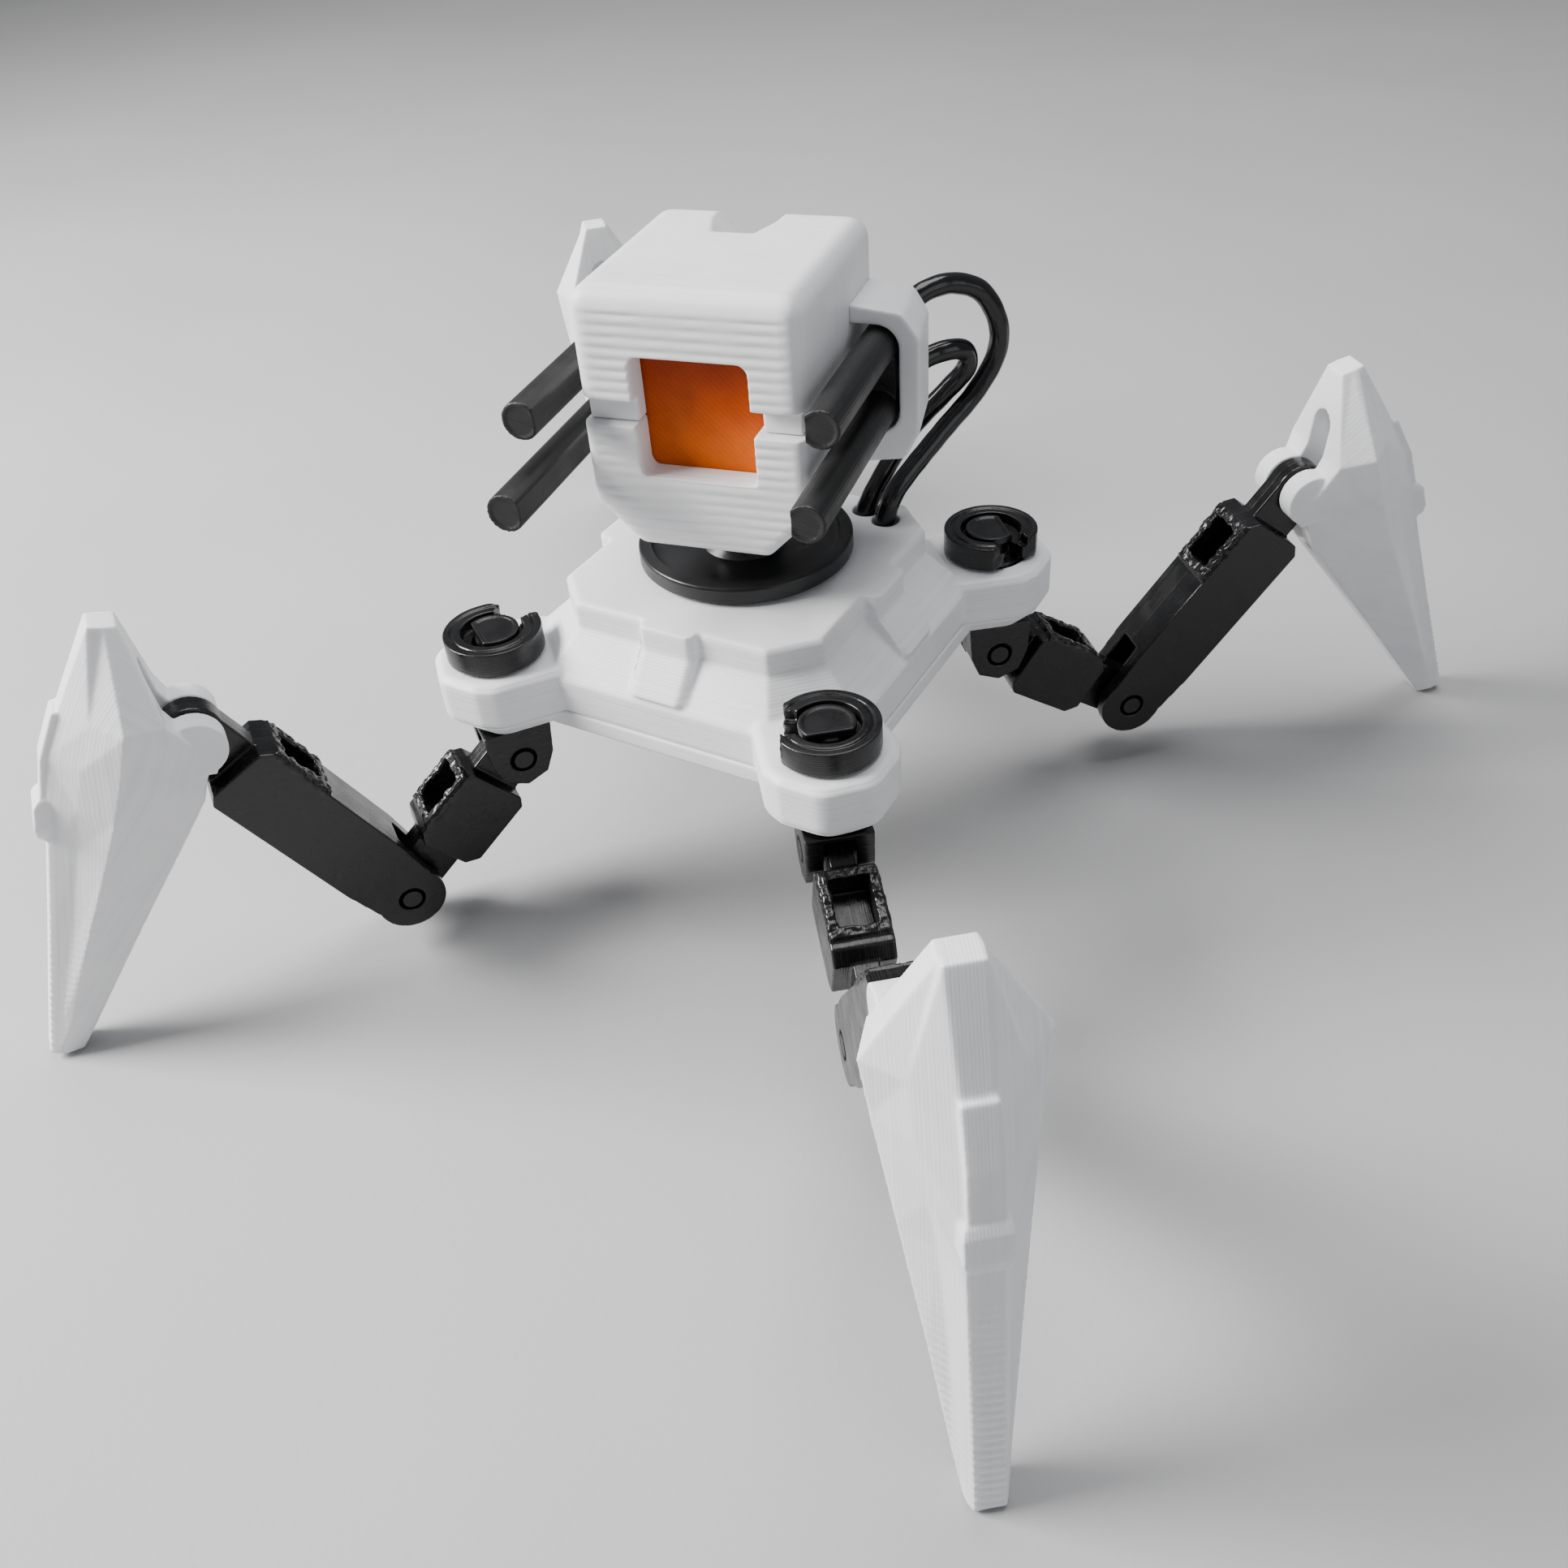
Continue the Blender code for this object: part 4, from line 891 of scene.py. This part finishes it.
def hose_route(which):
    back = GUN_BACK
    if which == "outer":
        start = [head_point(GUN_X, back, GUN_Z[1]), head_point(GUN_X, back + 0.4, GUN_Z[1]),
                 head_point(11.6, back + 1.1, 48.8)]
        arc = [head_point(12.8, 12.6, 49.5), head_point(14.6, 14.4, 49.5),
               head_point(16.6, 16.0, 48.3), head_point(17.9, 16.9, 45.4),
               head_point(17.8, 16.8, 42.6), head_point(16.3, 15.6, 39.6),
               head_point(13.9, 12.9, 36.8)]
        hole = HOSE_OUT_HOLE
        lean = (0.8, 1.1)
    else:
        start = [head_point(GUN_X, back, GUN_Z[0]), head_point(GUN_X, back + 0.4, GUN_Z[0]),
                 head_point(11.7, back + 1.0, 43.5)]
        arc = [head_point(13.2, 12.6, 44.0), head_point(14.7, 13.6, 44.2),
               head_point(15.6, 14.7, 43.6), head_point(15.6, 15.0, 42.0),
               head_point(13.7, 14.9, 39.6), head_point(10.9, 13.7, 36.4)]
        hole = HOSE_IN_HOLE
        lean = (1.0, 1.4)
    end = [Vector((hole[0] + lean[0], hole[1] + lean[1], Z_DECK + 2.8)),
           Vector((hole[0], hole[1], Z_DECK + 0.1)),
           Vector((hole[0] - 0.2, hole[1] - 0.2, Z_DECK - 1.4))]
    return start + arc + end


def tube(path, radius, sides=28):
    """Round tube with slightly narrowed, flat-capped ends, its section carried without twist."""
    tans = [(b - a).normalized() for a, b in zip(path, path[1:])]
    tans = [tans[0]] + [(a + b).normalized() for a, b in zip(tans, tans[1:])] + [tans[-1]]
    n = tans[0].orthogonal().normalized()
    rings = []
    for i, (p, t) in enumerate(zip(path, tans)):
        n = (n - t * n.dot(t)).normalized()
        b = t.cross(n)
        r = radius * (1.0 + 0.012 * math.sin(i * 0.9))
        if i in (0, len(path) - 1):
            r = radius * 0.86
        rings.append([p + (n * math.cos(a) + b * math.sin(a)) * r
                      for a in [2 * math.pi * k / sides for k in range(sides)]])
    return loft(rings)


# ---- build everything ------------------------------------------------------
def settle(a2, t):
    t = math.radians(t)
    foot = min(SHIN_FOOT_Z * math.cos(t) + u * math.sin(t) for u in FOOT_U)
    return math.degrees(math.asin(
        -(Z_HIP + L_UPPER * math.sin(math.radians(a2)) + foot) / L_LOWER))


def rot_y(deg):
    return Matrix.Rotation(-math.radians(deg), 4, "Y")


def tr(x, y, z):
    return Matrix.Translation((x, y, z))


piece("body_top", make_upper_shell(), "body", ROOT, WHITE, "white_print", "body_upper_shell")
piece("belly", make_belly_plate(), "body", ROOT, WHITE, "white_print", "belly_plate")

yoke, clip = make_hip_yoke(), make_clip()
lower, upper, shin = make_lower_link(), make_upper_link(), make_shin()
for name, sx, sy, heading, a2, tilt in LEGS:
    a1 = settle(a2, tilt)
    yaw = ROOT @ tr(sx * LOBE, sy * LOBE, 0) @ Matrix.Rotation(math.radians(heading), 4, "Z")
    seat = yaw @ tr(0, 0, Z_LOBE + GAP) @ Matrix.Rotation(
        math.radians(CLIP_TURN[name] - heading), 4, "Z")
    pitch = yaw @ tr(HIP_OUT, 0, Z_HIP) @ rot_y(a1)
    knee = pitch @ tr(L_LOWER, 0, 0) @ rot_y(a2 - a1)
    ankle = knee @ tr(L_UPPER, 0, 0) @ rot_y(-a2 + tilt)
    piece(name + "_yoke", yoke, name + "_hip", yaw, BLACK_CLIP, "black_print", name + "_hip_yoke")
    piece(name + "_clip", clip, name + "_hip", seat, BLACK_CLIP, "black_print", name + "_hip_clip")
    piece(name + "_thigh", lower, name + "_lower", pitch, BLACK_LINK, "black_print",
          name + "_lower_link")
    piece(name + "_arm", upper, name + "_upper", knee, BLACK_LINK, "black_print",
          name + "_upper_link")
    piece(name + "_foot_shell", shin, name + "_foot", ankle, WHITE_SHIN, "white_print",
          name + "_shin")

piece("turntable", make_turret_disc(), "head", HEAD, BLACK, "black_print", "turret_disc", sharp=40)
piece("head_top", make_head_upper(), "head", HEAD, WHITE_HEAD, "white_print", "head_upper_shell")
piece("head_jaw", make_head_lower(), "head", HEAD, WHITE_HEAD, "white_print", "head_lower_shell")
pane_nodes = [n for n in ("window_pane", "window_frame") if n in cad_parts]
piece("visor", make_window_pane(), "head", HEAD, ORANGE, "orange_window", *pane_nodes)
for side, nm in ((1, "right"), (-1, "left")):
    piece("bracket_" + nm, make_bracket(side), "head", HEAD, WHITE_BRACKET, "white_print",
          "gun_bracket_" + nm)
    piece("barrels_" + nm, make_gun(side), "head", HEAD, BLACK_GUN, "black_print",
          "gun_barrels_" + nm)

HOSE_LENGTHS = {}
for which, n in (("outer", 120), ("inner", 90)):
    path, HOSE_LENGTHS[which] = smooth_path(hose_route(which), n)
    me = tube([p + SHIFT for p in path], HOSE_R)
    me.transform(MMS)
    me.materials.clear()
    me.materials.append(HOSE)
    me.shade_smooth()
    o = bpy.data.objects.new("tube_" + which, me)
    SCENE.collection.objects.link(o)
    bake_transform(o)
    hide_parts("hose_" + which)

# CAD nodes that stay as they are: the pins and the turret's inner clip
for nm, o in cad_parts.items():
    if not o.hide_render:
        o.data.materials.clear()
        o.data.materials.append(BLACK)

bpy.data.collections.remove(WORK)

# ---- stage, light, camera ----------------------------------------------------
bm = bmesh.new()
bmesh.ops.create_grid(bm, x_segments=8, y_segments=8, size=1.6)
me = bpy.data.meshes.new("floor")
bm.to_mesh(me)
bm.free()
floor = bpy.data.objects.new("floor", me)
floor.location = (0, 0, -0.00002)
SCENE.collection.objects.link(floor)
fnet = Net("floor_matte")
fco = fnet.node("ShaderNodeTexCoord").outputs["Object"]
fnet.put(fnet.ramp(fnet.noise(fco, 14.0, 3.0), [(0.35, (0.40, 0.40, 0.405)), (0.65, (0.425, 0.425, 0.43))]),
         fnet.bsdf.inputs["Base Color"])
fnet.bsdf.inputs["Roughness"].default_value = 0.7
fnet.put(fnet.bump(fnet.noise(fco, 1800.0, 2.0), 0.00002), fnet.bsdf.inputs["Normal"])
me.materials.append(fnet.mat)

world = bpy.data.worlds.new("studio")
SCENE.world = world
world.use_nodes = True
world.node_tree.nodes["Background"].inputs[0].default_value = (0.93, 0.95, 1.0, 1)
world.node_tree.nodes["Background"].inputs[1].default_value = 0.22


def area(name, loc, target, size, power, colour=(1, 1, 1)):
    li = bpy.data.lights.new(name, "AREA")
    li.shape = "RECTANGLE"
    li.size, li.size_y = size
    li.energy = power
    li.color = colour
    o = bpy.data.objects.new(name, li)
    SCENE.collection.objects.link(o)
    o.location = loc
    o.rotation_euler = (Vector(target) - Vector(loc)).to_track_quat("-Z", "Y").to_euler()
    return o


area("key", (-0.30, -0.17, 0.26), (0, 0, 0.025), (0.20, 0.20), 5.0, (1.0, 0.99, 0.97))
area("top", (-0.02, 0.10, 0.45), (0, 0, 0.03), (0.30, 0.30), 1.7)
area("fill", (0.34, -0.10, 0.16), (0, 0, 0.03), (0.25, 0.25), 0.22, (0.95, 0.97, 1.0))

CAM_F, CAM_C = 1751.0, Vector((58.2, -90.9, 92.5))
yaw, pit, rol = (math.radians(a) for a in (31.8, -39.2, -4.6))
fw = Vector((-math.sin(yaw) * math.cos(pit), math.cos(yaw) * math.cos(pit), math.sin(pit)))
rt = fw.cross(Vector((0, 0, 1))).normalized()
up = rt.cross(fw)
r2 = rt * math.cos(rol) + up * math.sin(rol)
u2 = -rt * math.sin(rol) + up * math.cos(rol)
cam_data = bpy.data.cameras.new("camera")
cam_data.sensor_fit = "HORIZONTAL"
cam_data.sensor_width = 36.0
cam_data.lens = CAM_F / 1932.0 * 36.0
cam_data.clip_start = 0.005
cam = bpy.data.objects.new("camera", cam_data)
SCENE.collection.objects.link(cam)
rot = Matrix((r2, u2, -fw)).transposed().to_4x4()
cam.matrix_world = Matrix.Translation((CAM_C + SHIFT) * 0.001) @ rot
SCENE.camera = cam

bpy.context.view_layer.update()
